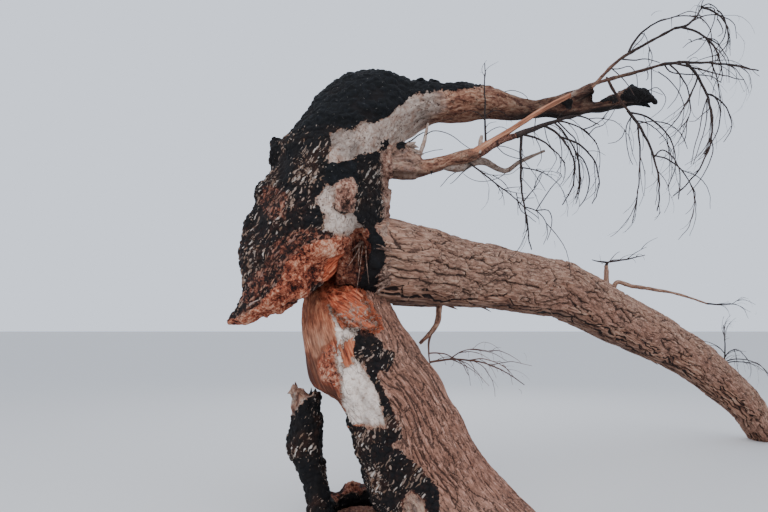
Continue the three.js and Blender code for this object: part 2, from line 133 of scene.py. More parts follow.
# %% Sections of the rim and the fallen trunk: x, y, z, radius
RIM_ROWS = [
    [-1.15, 0.205, 0.06, 0.11],
    [-1.08, 0.37, 0.095, 0.115],
    [-0.86, 0.47, 0.11, 0.125],
    [-0.5, 0.42, 0.13, 0.135],
]
LOG_LOWER_ROWS = [
    [-1.05, 0.01, 2.19, 0.3],
    [-0.64, 0.07, 2.14, 0.345],
    [-0.03, 0.54, 2.085, 0.318],
    [0.62, 1.04, 2.05, 0.305],
    [1.23, 1.5, 1.985, 0.312],
    [1.7, 1.86, 1.84, 0.314],
]
LOG_UPPER_ROWS = [
    [1.7, 1.86, 1.84, 0.312],
    [2.52, 2.45, 1.54, 0.3],
    [3.25, 2.9, 1.26, 0.28],
    [3.9, 3.27, 0.88, 0.255],
    [4.4, 3.5, 0.49, 0.235],
    [4.76, 3.64, 0.06, 0.21],
]
LOG_ROWS = LOG_LOWER_ROWS[:-1] + LOG_UPPER_ROWS

# %% Sections of the two thick boughs
UPPER_BOUGH_ROWS = [
    [-0.9, 0.06, 3.11, 0.26],
    [-0.62, 0.04, 3.38, 0.245],
    [-0.37, 0.03, 3.485, 0.208],
    [-0.1, 0.02, 3.515, 0.168],
    [0.18, 0.01, 3.508, 0.148],
]
UPPER_TIP_ROWS = [
    [0.18, 0.01, 3.508, 0.146],
    [0.33, 0.005, 3.478, 0.115],
    [0.5, 0, 3.45, 0.092],
    [0.84, -0.01, 3.446, 0.083],
    [1.14, -0.02, 3.468, 0.07],
]
CHARRED_END_ROWS = [
    [1.14, -0.02, 3.468, 0.069],
    [1.3, -0.025, 3.5, 0.068],
    [1.45, -0.03, 3.548, 0.082],
    [1.58, -0.03, 3.542, 0.056],
    [1.675, -0.03, 3.5, 0.009],
]
LOWER_BOUGH_ROWS = [
    [-0.86, -0.06, 2.88, 0.11],
    [-0.64, -0.09, 2.915, 0.108],
    [-0.43, -0.11, 2.905, 0.096],
    [-0.35, -0.115, 2.895, 0.062],
    [-0.18, -0.135, 2.93, 0.06],
    [0.03, -0.17, 2.975, 0.064],
]

# %% Sections of the thin boughs
POLE_ROWS = [
    [0.03, -0.17, 2.985, 0.038],
    [0.32, -0.24, 3.15, 0.024],
    [0.62, -0.33, 3.325, 0.022],
    [0.85, -0.38, 3.43, 0.02],
    [1, -0.4, 3.5, 0.017],
    [1.33, -0.42, 3.59, 0.014],
    [1.56, -0.43, 3.655, 0.011],
]
SECOND_POLE_ROWS = [
    [0.15, -0.19, 3.01, 0.026],
    [0.26, -0.222, 3.08, 0.027],
    [0.4, -0.248, 3.125, 0.024],
]
GREY_FORK_ROWS = [
    [-0.06, -0.13, 2.89, 0.042],
    [0.06, -0.1, 2.945, 0.038],
    [0.17, -0.06, 2.96, 0.032],
    [0.3, -0.04, 2.9, 0.024],
    [0.37, -0.04, 2.893, 0.021],
    [0.47, -0.07, 2.96, 0.017],
    [0.67, -0.11, 3.042, 0.01],
]
STRUT_ROWS = [
    [-0.4, -0.07, 2.96, 0.024],
    [-0.335, -0.04, 3.15, 0.016],
    [-0.3, -0.01, 3.32, 0.012],
]
SPUR_ROWS = [
    [0.11, -0.2, 3.02, 0.02],
    [0.118, -0.205, 3.1, 0.017],
    [0.125, -0.205, 3.14, 0.011],
]
UP_LEADER_ROWS = [
    [1, -0.4, 3.49, 0.015],
    [1.2, -0.39, 3.695, 0.014],
    [1.44, -0.37, 3.85, 0.012],
    [1.7, -0.35, 4, 0.01],
]
DOWN_LEADER_ROWS = [
    [1.11, -0.405, 3.53, 0.011],
    [1.155, -0.42, 3.415, 0.011],
    [1.24, -0.435, 3.265, 0.009],
]
PRONG_ROWS = [
    [-0.165, 0.47, 1.9, 0.036],
    [-0.18, 0.45, 1.745, 0.03],
    [-0.195, 0.44, 1.63, 0.027],
    [-0.25, 0.42, 1.54, 0.024],
    [-0.36, 0.4, 1.43, 0.015],
]
LOG_SPUR_ROWS = [
    [1.99, 2.13, 1.95, 0.038],
    [2, 2.1, 2.2, 0.03],
    [1.995, 2.08, 2.32, 0.022],
]
LOG_SIDE_ROWS = [
    [2.06, 2.14, 1.9, 0.03],
    [2.11, 2.09, 2.11, 0.027],
    [2.3, 2.08, 2.07, 0.024],
    [2.53, 2.06, 2.032, 0.02],
    [2.83, 2.04, 1.97, 0.015],
    [3.14, 2.02, 1.86, 0.01],
]

# %% A smooth curve through the rows of a table
def along(rows, t):
    """The values of a table at t, an array that runs from 0 at the first row to 1 at the last."""
    rows = np.asarray(rows, float)
    place = np.clip(np.asarray(t, float), 0, 1) * (len(rows) - 1)
    i = np.minimum(place.astype(int), len(rows) - 2)
    u = (place - i)[..., None]
    a, b = rows[np.maximum(i - 1, 0)], rows[i]
    c, d = rows[i + 1], rows[np.minimum(i + 2, len(rows) - 1)]
    return b + u * (c - a + u * (2 * a - 5 * b + 4 * c - d + u * (3 * (b - c) + d - a))) / 2


def smooth(low, high, x):
    """0 below low, 1 above high, and an even S between them; low may be the larger."""
    u = np.clip((x - low) / (high - low), 0, 1)
    return u * u * (3 - 2 * u)


print("the head is widest at", round(float(along(HEAD_ROWS, 0.4)[0]), 2), "m")

# %% [markdown]
# ## Noise to carve with
#
# Bark, char and rot are all irregular in a regular way. Two patterns give nearly all of it:
# smooth noise, and cells whose borders are cracks. Blender's textures could move the points, but
# arrays are quicker here, and the same numbers can then also colour the surface, so that the
# dark of a crack lies exactly in its groove.

# %% Numbers from a lattice
def dice(cell, seed):
    """A repeatable number from 0 to 1 for each cell of a lattice, given by whole numbers."""
    x, y, z = (cell[..., k].astype(np.int64).astype(np.uint32) for k in range(3))
    salt = np.uint32(seed * 668265263 % 4294967296)
    h = x * np.uint32(2654435761) ^ y * np.uint32(2246822519) ^ z * np.uint32(3266489917) ^ salt
    h = (h ^ (h >> np.uint32(15))) * np.uint32(739982445)
    h = (h ^ (h >> np.uint32(12))) * np.uint32(695872825)
    return (h ^ (h >> np.uint32(15))) / 4294967296.0


def noise(points, seed, octaves=2):
    """Smooth noise from about -1 to 1, with one hill or hollow to each unit of length."""
    total, gain, weight = 0.0, 1.0, 0.0
    for octave in range(octaves):
        base = np.floor(points)
        f = points - base
        f = f * f * (3 - 2 * f)
        value = 0.0
        for corner in itertools.product((0, 1), repeat=3):
            share = np.prod(np.where(corner, f, 1 - f), axis=-1)
            value = value + share * dice(base + corner, seed + octave)
        total = total + gain * (2 * value - 1)
        weight += gain
        gain *= 0.5
        points = points * 2.03 + 7.1
    return 1.5 * total / weight


print("noise at one place:", noise(np.array([[0.3, 0.4, 0.5]]), 1))

# %% Cells between cracks
def cells(points, seed):
    """Cells one unit wide: the distance in from a border, and a number of its own for each cell."""
    base = np.floor(points)
    first = np.full(len(points), 9.0)
    second = first.copy()
    own = np.zeros(len(points))
    for corner in itertools.product((-1, 0, 1), repeat=3):
        cell = base + corner
        middle = cell + np.stack([dice(cell, seed + k) for k in range(3)], axis=-1)
        gap = np.linalg.norm(middle - points, axis=-1)
        nearer = gap < first
        second = np.where(nearer, first, np.minimum(second, gap))
        own = np.where(nearer, dice(cell, seed + 5), own)
        first = np.where(nearer, gap, first)
    return second - first, own


# %% Plates on a limb's skin
def plates(grain, around, size, bend, seed):
    """Plates on a limb's skin, a whole number of them around it and each about so long.

    For each point: the distance in metres in from the nearest border, how strong that border
    is, and the plate's own number, the last two from 0 to 1.
    """
    radius = np.hypot(grain[:, 0], grain[:, 1])
    u = np.arctan2(grain[:, 1], grain[:, 0]) / math.tau * around
    u = u + bend * noise(grain / 0.22, seed + 20, 2) + 0.3 * bend * noise(grain / 0.05, seed + 22)
    v = grain[:, 2] / size + 0.25 * bend * noise(grain / 0.18, seed + 24)
    wide = np.maximum(radius, 0.01) * math.tau / around
    base_u, base_v = np.floor(u), np.floor(v)
    best = [np.full(len(u), 9.0) for _ in range(2)]
    middle = [np.zeros((len(u), 2)) for _ in range(2)]
    own = [np.zeros(len(u)) for _ in range(2)]
    for du, dv in itertools.product((-1, 0, 1), repeat=2):
        cell = np.stack([np.mod(base_u + du, around), base_v + dv, np.zeros(len(u))], axis=-1)
        place = np.stack([base_u + du + dice(cell, seed), base_v + dv + dice(cell, seed + 1)], axis=-1)
        gap = np.hypot(place[:, 0] - u, place[:, 1] - v)
        number = dice(cell, seed + 2)
        nearer = gap < best[0]
        second = ~nearer & (gap < best[1])
        best[1] = np.where(nearer, best[0], np.where(second, gap, best[1]))
        best[0] = np.where(nearer, gap, best[0])
        for kept, new in ((middle, place), (own, number)):
            pick = nearer[:, None] if new.ndim == 2 else nearer
            pick2 = second[:, None] if new.ndim == 2 else second
            kept[1] = np.where(pick, kept[0], np.where(pick2, new, kept[1]))
            kept[0] = np.where(pick, new, kept[0])
    across = middle[1] - middle[0]
    halfway = (middle[1] + middle[0]) / 2 - np.stack([u, v], axis=-1)
    steep = np.hypot(across[:, 0] / wide, across[:, 1] / size)
    inward = (across * halfway).sum(axis=1) / np.maximum(steep, 1e-6)
    strength = np.mod((own[0] + own[1]) * 7.31, 1.0)
    return np.maximum(inward, 0), strength, own[0]


def wobble(points, size, reach, seed):
    """The points pushed about by noise of this size, by up to this reach."""
    push = [noise(points / size, seed + 11 * k) for k in range(3)]
    return points + reach * np.stack(push, axis=-1)


# %% [markdown]
# ## Grain
#
# Bark furrows and wood grain follow the limb, also where it bends. So each point of a limb gets
# its place in the limb's own grain: how far it lies from the middle line, in two directions, and
# how far along the limb it is. A pattern on those three numbers has no seam and never stretches
# at a bend. The other way, unwrapping each limb to a flat map, always leaves a seam somewhere.

# %% A limb's middle line
FRONT = np.array([0.08, -0.99, 0.12]) / np.linalg.norm([0.08, -0.99, 0.12])


class Spine:
    """A limb's middle line, cut fine, with directions across it at each place."""

    def __init__(self, rows, step=0.012):
        rough = along(rows, np.linspace(0, 1, 400))[:, :3]
        length = np.linalg.norm(np.diff(rough, axis=0), axis=1).sum()
        self.points = along(rows, np.linspace(0, 1, max(int(length / step), 8)))[:, :3]
        ahead = np.gradient(self.points, axis=0)
        self.ahead = ahead / np.linalg.norm(ahead, axis=1)[:, None]
        side = np.cross(self.ahead, FRONT)
        self.side = side / np.linalg.norm(side, axis=1)[:, None]
        self.deep = np.cross(self.side, self.ahead)
        gaps = np.linalg.norm(np.diff(self.points, axis=0), axis=1)
        self.far = np.concatenate([[0], np.cumsum(gaps)])

    def grain(self, points):
        """Each point's place in the grain: across, deep and along the limb."""
        nearest = np.concatenate(
            [
                np.argmin(((part[:, None] - self.points[None]) ** 2).sum(axis=2), axis=1)
                for part in np.array_split(points, len(points) // 4000 + 1)
            ]
        )
        offset = points - self.points[nearest]
        ways = (self.side, self.deep, self.ahead)
        across, deep, ahead = ((offset * way[nearest]).sum(axis=1) for way in ways)
        return np.stack([across, deep, self.far[nearest] + ahead], axis=1)


def middle_rows(rows):
    """The middle line of an upright part's level sections."""
    rows = np.asarray(rows)
    across = (rows[:, 1] + rows[:, 2]) / 2
    deep = (rows[:, 3] + rows[:, 4]) / 2
    return np.stack([across, deep, rows[:, 0]], axis=1)


stump_spine = Spine(middle_rows(STUMP_ROWS))
head_spine = Spine(middle_rows(HEAD_ROWS))
log_spine = Spine(LOG_ROWS)
print("the fallen trunk is", round(float(log_spine.far[-1]), 2), "m long")

# %% [markdown]
# ## Bodies
#
# Every limb starts as a flat grid that is rolled up: one way round the limb, the other way along
# it. Its edges are merged, its two ends are filled, and it is a closed body. Spinning a profile
# would be shorter, but only for a limb that is straight and round, and none here is.

# %% Rolling a grid into a limb
def swelling(angle, t, seed, depth):
    """Low swellings round a section, so that no limb is perfectly round."""
    two = np.cos(2 * angle + seed + 2.3 * t)
    three = np.cos(3 * angle + 1.7 * seed - 3.1 * t)
    five = np.cos(5 * angle + 2.9 * seed + 4.3 * t)
    return 1 + depth * (0.5 * two + 0.3 * three + 0.2 * five)


def rolled(sides, rings, place):
    """A closed body: place gives the points for arrays of t, along it, and angle, round it."""
    bm = bmesh.new()
    bmesh.ops.create_grid(bm, x_segments=sides, y_segments=rings, size=1.0)
    flat = np.array([v.co for v in bm.verts])
    for vert, point in zip(bm.verts, place((flat[:, 1] + 1) / 2, flat[:, 0] * math.pi)):
        vert.co = point
    bmesh.ops.remove_doubles(bm, verts=bm.verts, dist=1e-6)
    bmesh.ops.holes_fill(bm, edges=[e for e in bm.edges if e.is_boundary])
    bmesh.ops.recalc_face_normals(bm, faces=bm.faces)
    return bm


# %% Two kinds of limb
def upright(rows, seed, depth, sides=64, ring=0.03):
    """A body of level sections."""

    def place(t, angle):
        height, left, right, front, back = along(rows, t).T
        swell = swelling(angle, t, seed, depth)
        x = (left + right) / 2 + (right - left) / 2 * swell * np.cos(angle)
        y = (front + back) / 2 - (back - front) / 2 * swell * np.sin(angle)
        return np.stack([x, y, height], axis=1)

    return rolled(sides, int((rows[-1][0] - rows[0][0]) / ring), place)


def limb(rows, seed, depth, sides=48, ring=0.03, rough=0.0, rough_size=0.1):
    """A body of sections square to its middle line, rough by a share of its radius."""
    length = Spine(rows).far[-1]

    def place(t, angle):
        centre = along(rows, t)
        step = along(rows, t + 1e-3)[:, :3] - along(rows, t - 1e-3)[:, :3]
        ahead = step / np.linalg.norm(step, axis=1)[:, None]
        side = np.cross(ahead, FRONT)
        side /= np.linalg.norm(side, axis=1)[:, None]
        deep = np.cross(side, ahead)
        radius = centre[:, 3] * swelling(angle, t, seed, depth)
        way = side * np.cos(angle)[:, None] + deep * np.sin(angle)[:, None]
        where = np.stack([np.cos(angle), np.sin(angle), t * length / rough_size], axis=1)
        radius = radius * (1 + rough * noise(where, int(seed * 10), 3))
        return centre[:, :3] + way * radius[:, None]

    return rolled(sides, max(int(length / ring), 6), place)


# %% Lumps and hollows
def lump(spec, fine=4):
    """A rounded lump."""
    bm = bmesh.new()
    bmesh.ops.create_icosphere(bm, subdivisions=fine, radius=1.0)
    bmesh.ops.scale(bm, vec=spec["size"], verts=bm.verts)
    bmesh.ops.translate(bm, vec=spec["at"], verts=bm.verts)
    return bm


def pressed(bm, spec, way):
    """Presses the hollow of a lump into a body, from outside, along the axis numbered way."""
    for vert in bm.verts:
        place = [(vert.co[k] - spec["at"][k]) / spec["size"][k] for k in range(3)]
        rest = sum(place[k] ** 2 for k in range(3) if k != way)
        if rest < 1 and place[way] < math.sqrt(1 - rest):
            vert.co[way] = spec["at"][way] + spec["size"][way] * math.sqrt(1 - rest)
    return bm


# %% [markdown]
# ## Wood from bodies
#
# Overlapping bodies become one skin in a voxel remesh: it wraps whatever overlaps in even, small
# squares, about as wide as the finest crack that should be cut. A boolean union would also join
# them, but it leaves long thin faces along each joint, which carve badly.

# %% Fusing bodies
SKIN = 0.0085
LIMIT = 195000  # triangles in one piece
print("the skin has a point every", SKIN, "m")


def as_mesh(name, bodies):
    """One mesh of several bodies, which are used up."""
    mesh = bpy.data.meshes.new(name)
    whole = bmesh.new()
    for body in bodies:
        body.to_mesh(mesh)
        whole.from_mesh(mesh)
        body.free()
    whole.to_mesh(mesh)
    whole.free()
    return mesh


def finished(mesh, *modifiers):
    """The mesh that some modifiers make of a mesh, in its place and under its name."""
    name = mesh.name
    rough = bpy.data.objects.new(name, mesh)
    bpy.context.scene.collection.objects.link(rough)
    for kind, settings in modifiers:
        modifier = rough.modifiers.new(kind, kind)
        for key, value in settings.items():
            setattr(modifier, key, value)
    graph = bpy.context.evaluated_depsgraph_get()
    made = bpy.data.meshes.new_from_object(rough.evaluated_get(graph))
    bpy.data.objects.remove(rough)
    bpy.data.meshes.remove(mesh)
    made.name = name
    return made


def fused(name, bodies, skin=SKIN):
    """The mesh of one even skin round overlapping bodies."""
    wrap = ("REMESH", {"mode": "VOXEL", "voxel_size": skin})
    relax = ("SMOOTH", {"factor": 0.5, "iterations": 1})
    return finished(as_mesh(name, bodies), wrap, relax)


def slimmed(mesh, limit=LIMIT):
    """The mesh with its flattest parts thinned, where it has too many triangles."""
    count = sum(len(face.vertices) - 2 for face in mesh.polygons)
    if count <= limit:
        return mesh
    slim = finished(mesh, ("DECIMATE", {"ratio": 0.99 * limit / count}))
    slim.shade_smooth()
    return slim


# %% A mesh's points, and the numbers kept on them
def read(mesh):
    """A mesh's points and the directions its surface faces, as arrays."""
    points = np.empty(len(mesh.vertices) * 3)
    facing = np.empty(len(mesh.vertices) * 3)
    mesh.vertices.foreach_get("co", points)
    mesh.vertex_normals.foreach_get("vector", facing)
    return points.reshape(-1, 3), facing.reshape(-1, 3)


def write(mesh, points, **values):
    """Moves a mesh's points, and keeps a number or a place for each point under a name."""
    mesh.vertices.foreach_set("co", points.ravel())
    for name, value in values.items():
        kind = "FLOAT" if value.ndim == 1 else "FLOAT_VECTOR"
        data = mesh.attributes.new(name, kind, "POINT").data
        data.foreach_set("value" if value.ndim == 1 else "vector", value.ravel())
    mesh.shade_smooth()
    mesh.update()


# %% Placing a piece
def placed(mesh, slot, material, *nodes):
    """A finished piece: it rides on the tree and stands for the given solids."""
    piece = bpy.data.objects.new(mesh.name, mesh)
    bpy.context.scene.collection.objects.link(piece)
    mesh.materials.clear()
    mesh.materials.append(material)
    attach(piece, "root")
    if nodes:
        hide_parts(*nodes)
    triangles = sum(len(face.vertices) - 2 for face in mesh.polygons)
    print(f"{mesh.name}: {triangles} triangles")
    return piece


# %% [markdown]
# ## The drawn zones
#
# Fire, weather and rot left patches with clear shapes: a black cap, a bleached strip, a crumbling
# lip. Each patch is drawn as an outline on an upright plane through the origin, as it looks from
# the front. It goes on through the wood, and noise gives it another course round the back.
# Painting by hand would do, but an outline can also say where the surface is carved.

# %% Outlines on the head and the boughs: across and up
HEAD_ZONES = {
    "cap": [
        (-1.54, 3.35), (-1.47, 3.23), (-1.39, 3.30), (-1.28, 3.32), (-1.10, 3.30), (-0.96, 3.27),
        (-0.88, 3.34), (-0.82, 3.36), (-0.74, 3.33), (-0.65, 3.38), (-0.57, 3.47), (-0.47, 3.54),
        (-0.40, 3.61), (-0.32, 3.62), (-0.18, 3.63), (-0.06, 3.61), (0.09, 3.63), (0.19, 3.66),
        (0.23, 3.75), (-0.19, 3.84), (-0.54, 3.94), (-1.07, 3.94), (-1.54, 3.57),
    ],
    "bough_end": [
        (1.22, 3.54), (1.34, 3.58), (1.43, 3.62), (1.50, 3.66), (1.56, 3.76), (1.66, 3.72),
        (1.78, 3.58), (1.77, 3.44), (1.56, 3.45), (1.49, 3.47), (1.42, 3.50), (1.32, 3.51),
    ],
    "crust": [(0.84, 3.53), (0.92, 3.56), (0.96, 3.52), (0.94, 3.46), (0.87, 3.48)],
    "block": [
        (-1.18, 2.95), (-1.08, 2.97), (-0.95, 3.00), (-0.90, 3.01), (-0.91, 2.89), (-0.97, 2.84),
        (-1.05, 2.82), (-1.14, 2.78), (-1.18, 2.82),
    ],
    "band": [
        (-0.88, 3.04), (-0.73, 3.05), (-0.73, 2.89), (-0.71, 2.66), (-0.71, 2.52), (-0.75, 2.42),
        (-0.72, 2.35), (-0.67, 2.25), (-0.66, 2.19), (-0.70, 2.03), (-0.75, 1.88), (-0.80, 1.80),
        (-0.91, 1.80), (-0.83, 2.11), (-0.79, 2.22), (-0.81, 2.37), (-0.91, 2.54), (-0.90, 2.74),
        (-0.89, 2.89),
    ],
    "bare_top": [
        (-1.14, 3.25), (-1.02, 3.28), (-0.95, 3.26), (-0.87, 3.34), (-0.74, 3.32), (-0.63, 3.40),
        (-0.52, 3.50), (-0.44, 3.58), (-0.33, 3.61), (-0.19, 3.61), (-0.02, 3.59), (0.33, 3.57),
        (0.32, 3.33), (-0.29, 3.29), (-0.38, 3.26), (-0.48, 3.20), (-0.56, 3.14), (-0.66, 3.12),
        (-0.77, 3.07), (-0.87, 3.05), (-0.95, 3.01), (-1.08, 2.98), (-1.15, 2.97),
    ],
    "bare_mid": [
        (-1.25, 2.66), (-1.16, 2.76), (-1.10, 2.75), (-1.10, 2.66), (-1.12, 2.59), (-1.09, 2.56),
        (-1.00, 2.53), (-0.94, 2.54), (-0.89, 2.45), (-0.80, 2.25), (-0.83, 2.22), (-0.90, 2.34),
        (-1.00, 2.34), (-1.12, 2.36), (-1.18, 2.38), (-1.18, 2.52), (-1.21, 2.56),
    ],
    "red_patch": [
        (-1.10, 2.78), (-1.03, 2.84), (-0.95, 2.85), (-0.90, 2.78), (-0.91, 2.60), (-0.96, 2.53),
        (-1.07, 2.52), (-1.11, 2.61),
    ],
    "strip": [
        (-0.72, 3.05), (-0.66, 3.12), (-0.56, 3.14), (-0.52, 2.99), (-0.54, 2.84), (-0.63, 2.77),
        (-0.61, 2.58), (-0.53, 2.49), (-0.54, 2.35), (-0.65, 2.34), (-0.71, 2.40), (-0.71, 2.52),
        (-0.71, 2.73),
    ],
    "crumbs": [
        (-1.51, 2.11), (-1.38, 2.22), (-1.23, 2.30), (-1.13, 2.34), (-0.91, 2.34), (-0.81, 2.22),
        (-0.83, 2.11), (-0.95, 2.11), (-1.01, 2.17), (-1.13, 2.11), (-1.15, 2.03), (-1.23, 1.93),
        (-1.38, 1.80), (-1.53, 1.69), (-1.69, 1.58), (-1.87, 1.55), (-2.02, 1.58), (-1.87, 1.68),
        (-1.69, 1.80), (-1.57, 1.92),
    ],
    "tongue": [
        (-1.20, 2.11), (-1.10, 2.20), (-0.96, 2.22), (-0.95, 2.11), (-1.00, 2.00), (-1.08, 1.87),
        (-1.17, 1.88), (-1.21, 2.00),
    ],
    "rust": [
        (-1.87, 1.80), (-1.80, 1.94), (-1.70, 2.11), (-1.64, 2.22), (-1.52, 2.34), (-1.39, 2.40),
        (-1.20, 2.39), (-1.01, 2.34), (-1.00, 2.22), (-1.23, 2.17), (-1.42, 2.11), (-1.55, 2.01),
        (-1.69, 1.86), (-1.81, 1.75),
    ],
    "embers": [
        (-1.72, 2.78), (-1.63, 2.79), (-1.53, 2.73), (-1.49, 2.62), (-1.53, 2.50), (-1.63, 2.47),
        (-1.71, 2.52), (-1.74, 2.66),
    ],
    "pits": [(-0.70, 3.16), (-0.65, 3.17), (-0.64, 3.09), (-0.69, 3.07)],
    "knot": [(-0.57, 3.14), (-0.50, 3.15), (-0.49, 3.10), (-0.56, 3.09)],
    "gap": [
        (-1.00, 2.15), (-0.90, 2.17), (-0.81, 2.22), (-0.75, 2.11), (-0.73, 1.93), (-0.78, 1.80),
        (-0.91, 1.78), (-1.04, 1.85), (-1.01, 2.01),
    ],
}

# %% Outlines on the stump and the stub
STUMP_ZONES = {
    "wall": [
        (-1.45, 2.50), (-1.18, 2.50), (-1.12, 1.76), (-1.08, 1.68), (-1.06, 1.56), (-1.10, 1.46),
        (-1.11, 1.39), (-1.17, 1.35), (-1.22, 1.29), (-1.19, 1.21), (-1.08, 1.15), (-1.00, 1.05),
        (-0.95, 0.92), (-0.95, 0.85), (-1.01, 0.91), (-1.09, 0.96), (-1.17, 1.05), (-1.24, 1.10),
        (-1.31, 1.11), (-1.40, 1.47),
    ],
    "splinters": [
        (-1.20, 2.50), (-0.70, 2.50), (-0.86, 1.95), (-0.85, 1.80), (-0.77, 1.70), (-0.69, 1.57),
        (-0.77, 1.53), (-0.91, 1.54), (-1.03, 1.62), (-1.14, 1.73), (-1.20, 1.88),
    ],
    "crumbled_edge": [
        (-1.18, 1.36), (-1.14, 1.42), (-1.08, 1.46), (-1.03, 1.32), (-1.00, 1.21), (-0.96, 1.09),
        (-0.94, 0.95), (-0.99, 0.99), (-1.05, 1.07), (-1.10, 1.11), (-1.16, 1.13), (-1.19, 1.22),
        (-1.21, 1.30),
    ],
    "ridge": [
        (-1.15, 1.76), (-1.12, 1.76), (-1.03, 1.55), (-1.04, 1.41), (-1.00, 1.31), (-0.96, 1.21),
        (-0.92, 1.07), (-0.88, 0.89), (-0.87, 0.80), (-0.98, 0.78), (-1.00, 0.94), (-1.02, 1.10),
        (-1.03, 1.21), (-1.06, 1.29), (-1.08, 1.41), (-1.07, 1.54),
    ],
    "burnt_edge": [
        (-1.32, 1.15), (-1.26, 1.09), (-1.20, 1.04), (-1.13, 0.99), (-1.05, 0.93), (-0.97, 0.88),
        (-0.93, 0.84), (-0.92, 0.78), (-0.99, 0.79), (-1.08, 0.84), (-1.17, 0.89), (-1.26, 0.95),
        (-1.36, 1.06),
    ],
    "dark_rim": [
        (-1.37, 1.37), (-1.12, 1.26), (-1.05, 1.11), (-0.94, 0.97), (-0.99, 0.83), (-1.12, 0.91),
        (-1.21, 1.00), (-1.31, 1.05), (-1.36, 1.18),
    ],
    "bleach": [
        (-1.05, 1.55), (-0.98, 1.58), (-0.90, 1.57), (-0.88, 1.50), (-0.92, 1.44), (-0.92, 1.37),
        (-0.85, 1.26), (-0.78, 1.15), (-0.72, 1.05), (-0.69, 0.92), (-0.66, 0.78), (-0.78, 0.77),
        (-0.86, 0.79), (-0.92, 0.80), (-0.95, 0.92), (-0.98, 1.05), (-1.01, 1.23), (-1.04, 1.37),
    ],
    "red_spot": [
        (-1.01, 1.47), (-0.94, 1.49), (-0.92, 1.41), (-0.94, 1.29), (-1.00, 1.26), (-1.03, 1.35),
    ],
    "burn": [
        (-0.88, 1.56), (-0.81, 1.54), (-0.70, 1.44), (-0.70, 1.39), (-0.60, 1.37), (-0.60, 1.31),
        (-0.65, 1.23), (-0.73, 1.23), (-0.75, 1.19), (-0.70, 1.09), (-0.68, 1.03), (-0.63, 0.97),
        (-0.61, 0.88), (-0.56, 0.80), (-0.55, 0.70), (-0.62, 0.63), (-0.55, 0.59), (-0.50, 0.52),
        (-0.38, 0.46), (-0.36, 0.39), (-0.26, 0.33), (-0.25, 0.23), (-0.22, -0.09), (-1.34, -0.09),
        (-1.36, 0.80), (-1.12, 0.91), (-0.99, 0.80), (-0.92, 0.78), (-0.78, 0.75), (-0.66, 0.77),
        (-0.69, 0.92), (-0.72, 1.06), (-0.78, 1.16), (-0.85, 1.26), (-0.92, 1.35), (-0.92, 1.44),
    ],
    "tan_low": [(-0.69, 0.38), (-0.62, 0.36), (-0.58, 0.27), (-0.62, 0.24), (-0.68, 0.30)],
    "pale_low": [(-0.52, -0.01), (-0.54, 0.17), (-0.46, 0.27), (-0.36, 0.21), (-0.35, -0.01)],
    "stub_top": [
        (-1.48, 0.89), (-1.44, 1.03), (-1.38, 1.15), (-1.27, 1.11), (-1.25, 1.03), (-1.32, 0.99),
        (-1.38, 0.91), (-1.42, 0.88),
    ],
}
ZONES = HEAD_ZONES | STUMP_ZONES
print("zones drawn:", len(ZONES))

# %% How far a point lies in a zone
EYE = np.array([-0.679, -4.739, 1.55])  # where the camera stands
EDGE = 0.05  # width of the soft border that the paint later sharpens


def drawn(points):
    """Where points seem to lie on the upright plane through the origin, seen from the front."""
    near = EYE[1] / (EYE[1] - points[:, 1])
    return EYE[[0, 2]] + (points[:, [0, 2]] - EYE[[0, 2]]) * near[:, None]


def depth_in(flat, outline):
    """How far points of the plane lie inside an outline; outside it is less than zero."""
    away = np.full(len(flat), 9.0)
    inside = np.zeros(len(flat), bool)
    for (x0, z0), (x1, z1) in zip(outline, outline[1:] + outline[:1]):
        start = np.array([x0, z0])
        edge = np.array([x1 - x0, z1 - z0])
        share = np.clip(((flat - start) @ edge) / max(edge @ edge, 1e-9), 0, 1)
        away = np.minimum(away, np.linalg.norm(flat - start - share[:, None] * edge, axis=1))
        if z0 != z1:
            crossing = (flat[:, 1] > min(z0, z1)) & (flat[:, 1] <= max(z0, z1))
            at = x0 + (flat[:, 1] - z0) * (x1 - x0) / (z1 - z0)
            inside ^= crossing & (flat[:, 0] < at)
    return np.where(inside, away, -away)


def zone(points, *names, grow=0.0):
    """How much each point belongs to the named zones, 0 to 1, with ragged borders.

    A zone that lies under others is grown a little, so that nothing shows between them. Round
    the back the outlines take another course.
    """
    flat = drawn(points)
    behind = 0.30 * smooth(0.0, 0.35, points[:, 1])
    flat[:, 0] += behind * noise(points / 0.5, 73)
    flat[:, 1] += behind * noise(points / 0.5, 74)
    ragged = 0.022 * noise(points / 0.09, 71, 3) + 0.010 * noise(points / 0.025, 72)
    deepest = np.max([depth_in(flat, ZONES[name]) for name in names], axis=0)
    return np.clip(0.5 + (deepest + grow + ragged) / EDGE, 0, 1)


# %% [markdown]
# ## Carving the kinds of surface
#
# Each kind of surface has its own relief, in metres outward: plates of bark between furrows, the
# flakes under shed bark, the blocks of char, the crumbs of rot, and the fine ridges of bare wood.
# The kinds then blend by their zones. One displacement texture for all of them would look the
# same everywhere.

# %% Relief of each kind of surface
def stretched(grain, across, length):
    """Grain places in units of a pattern that is so wide and so long."""
    return grain / np.array([across, across, length])


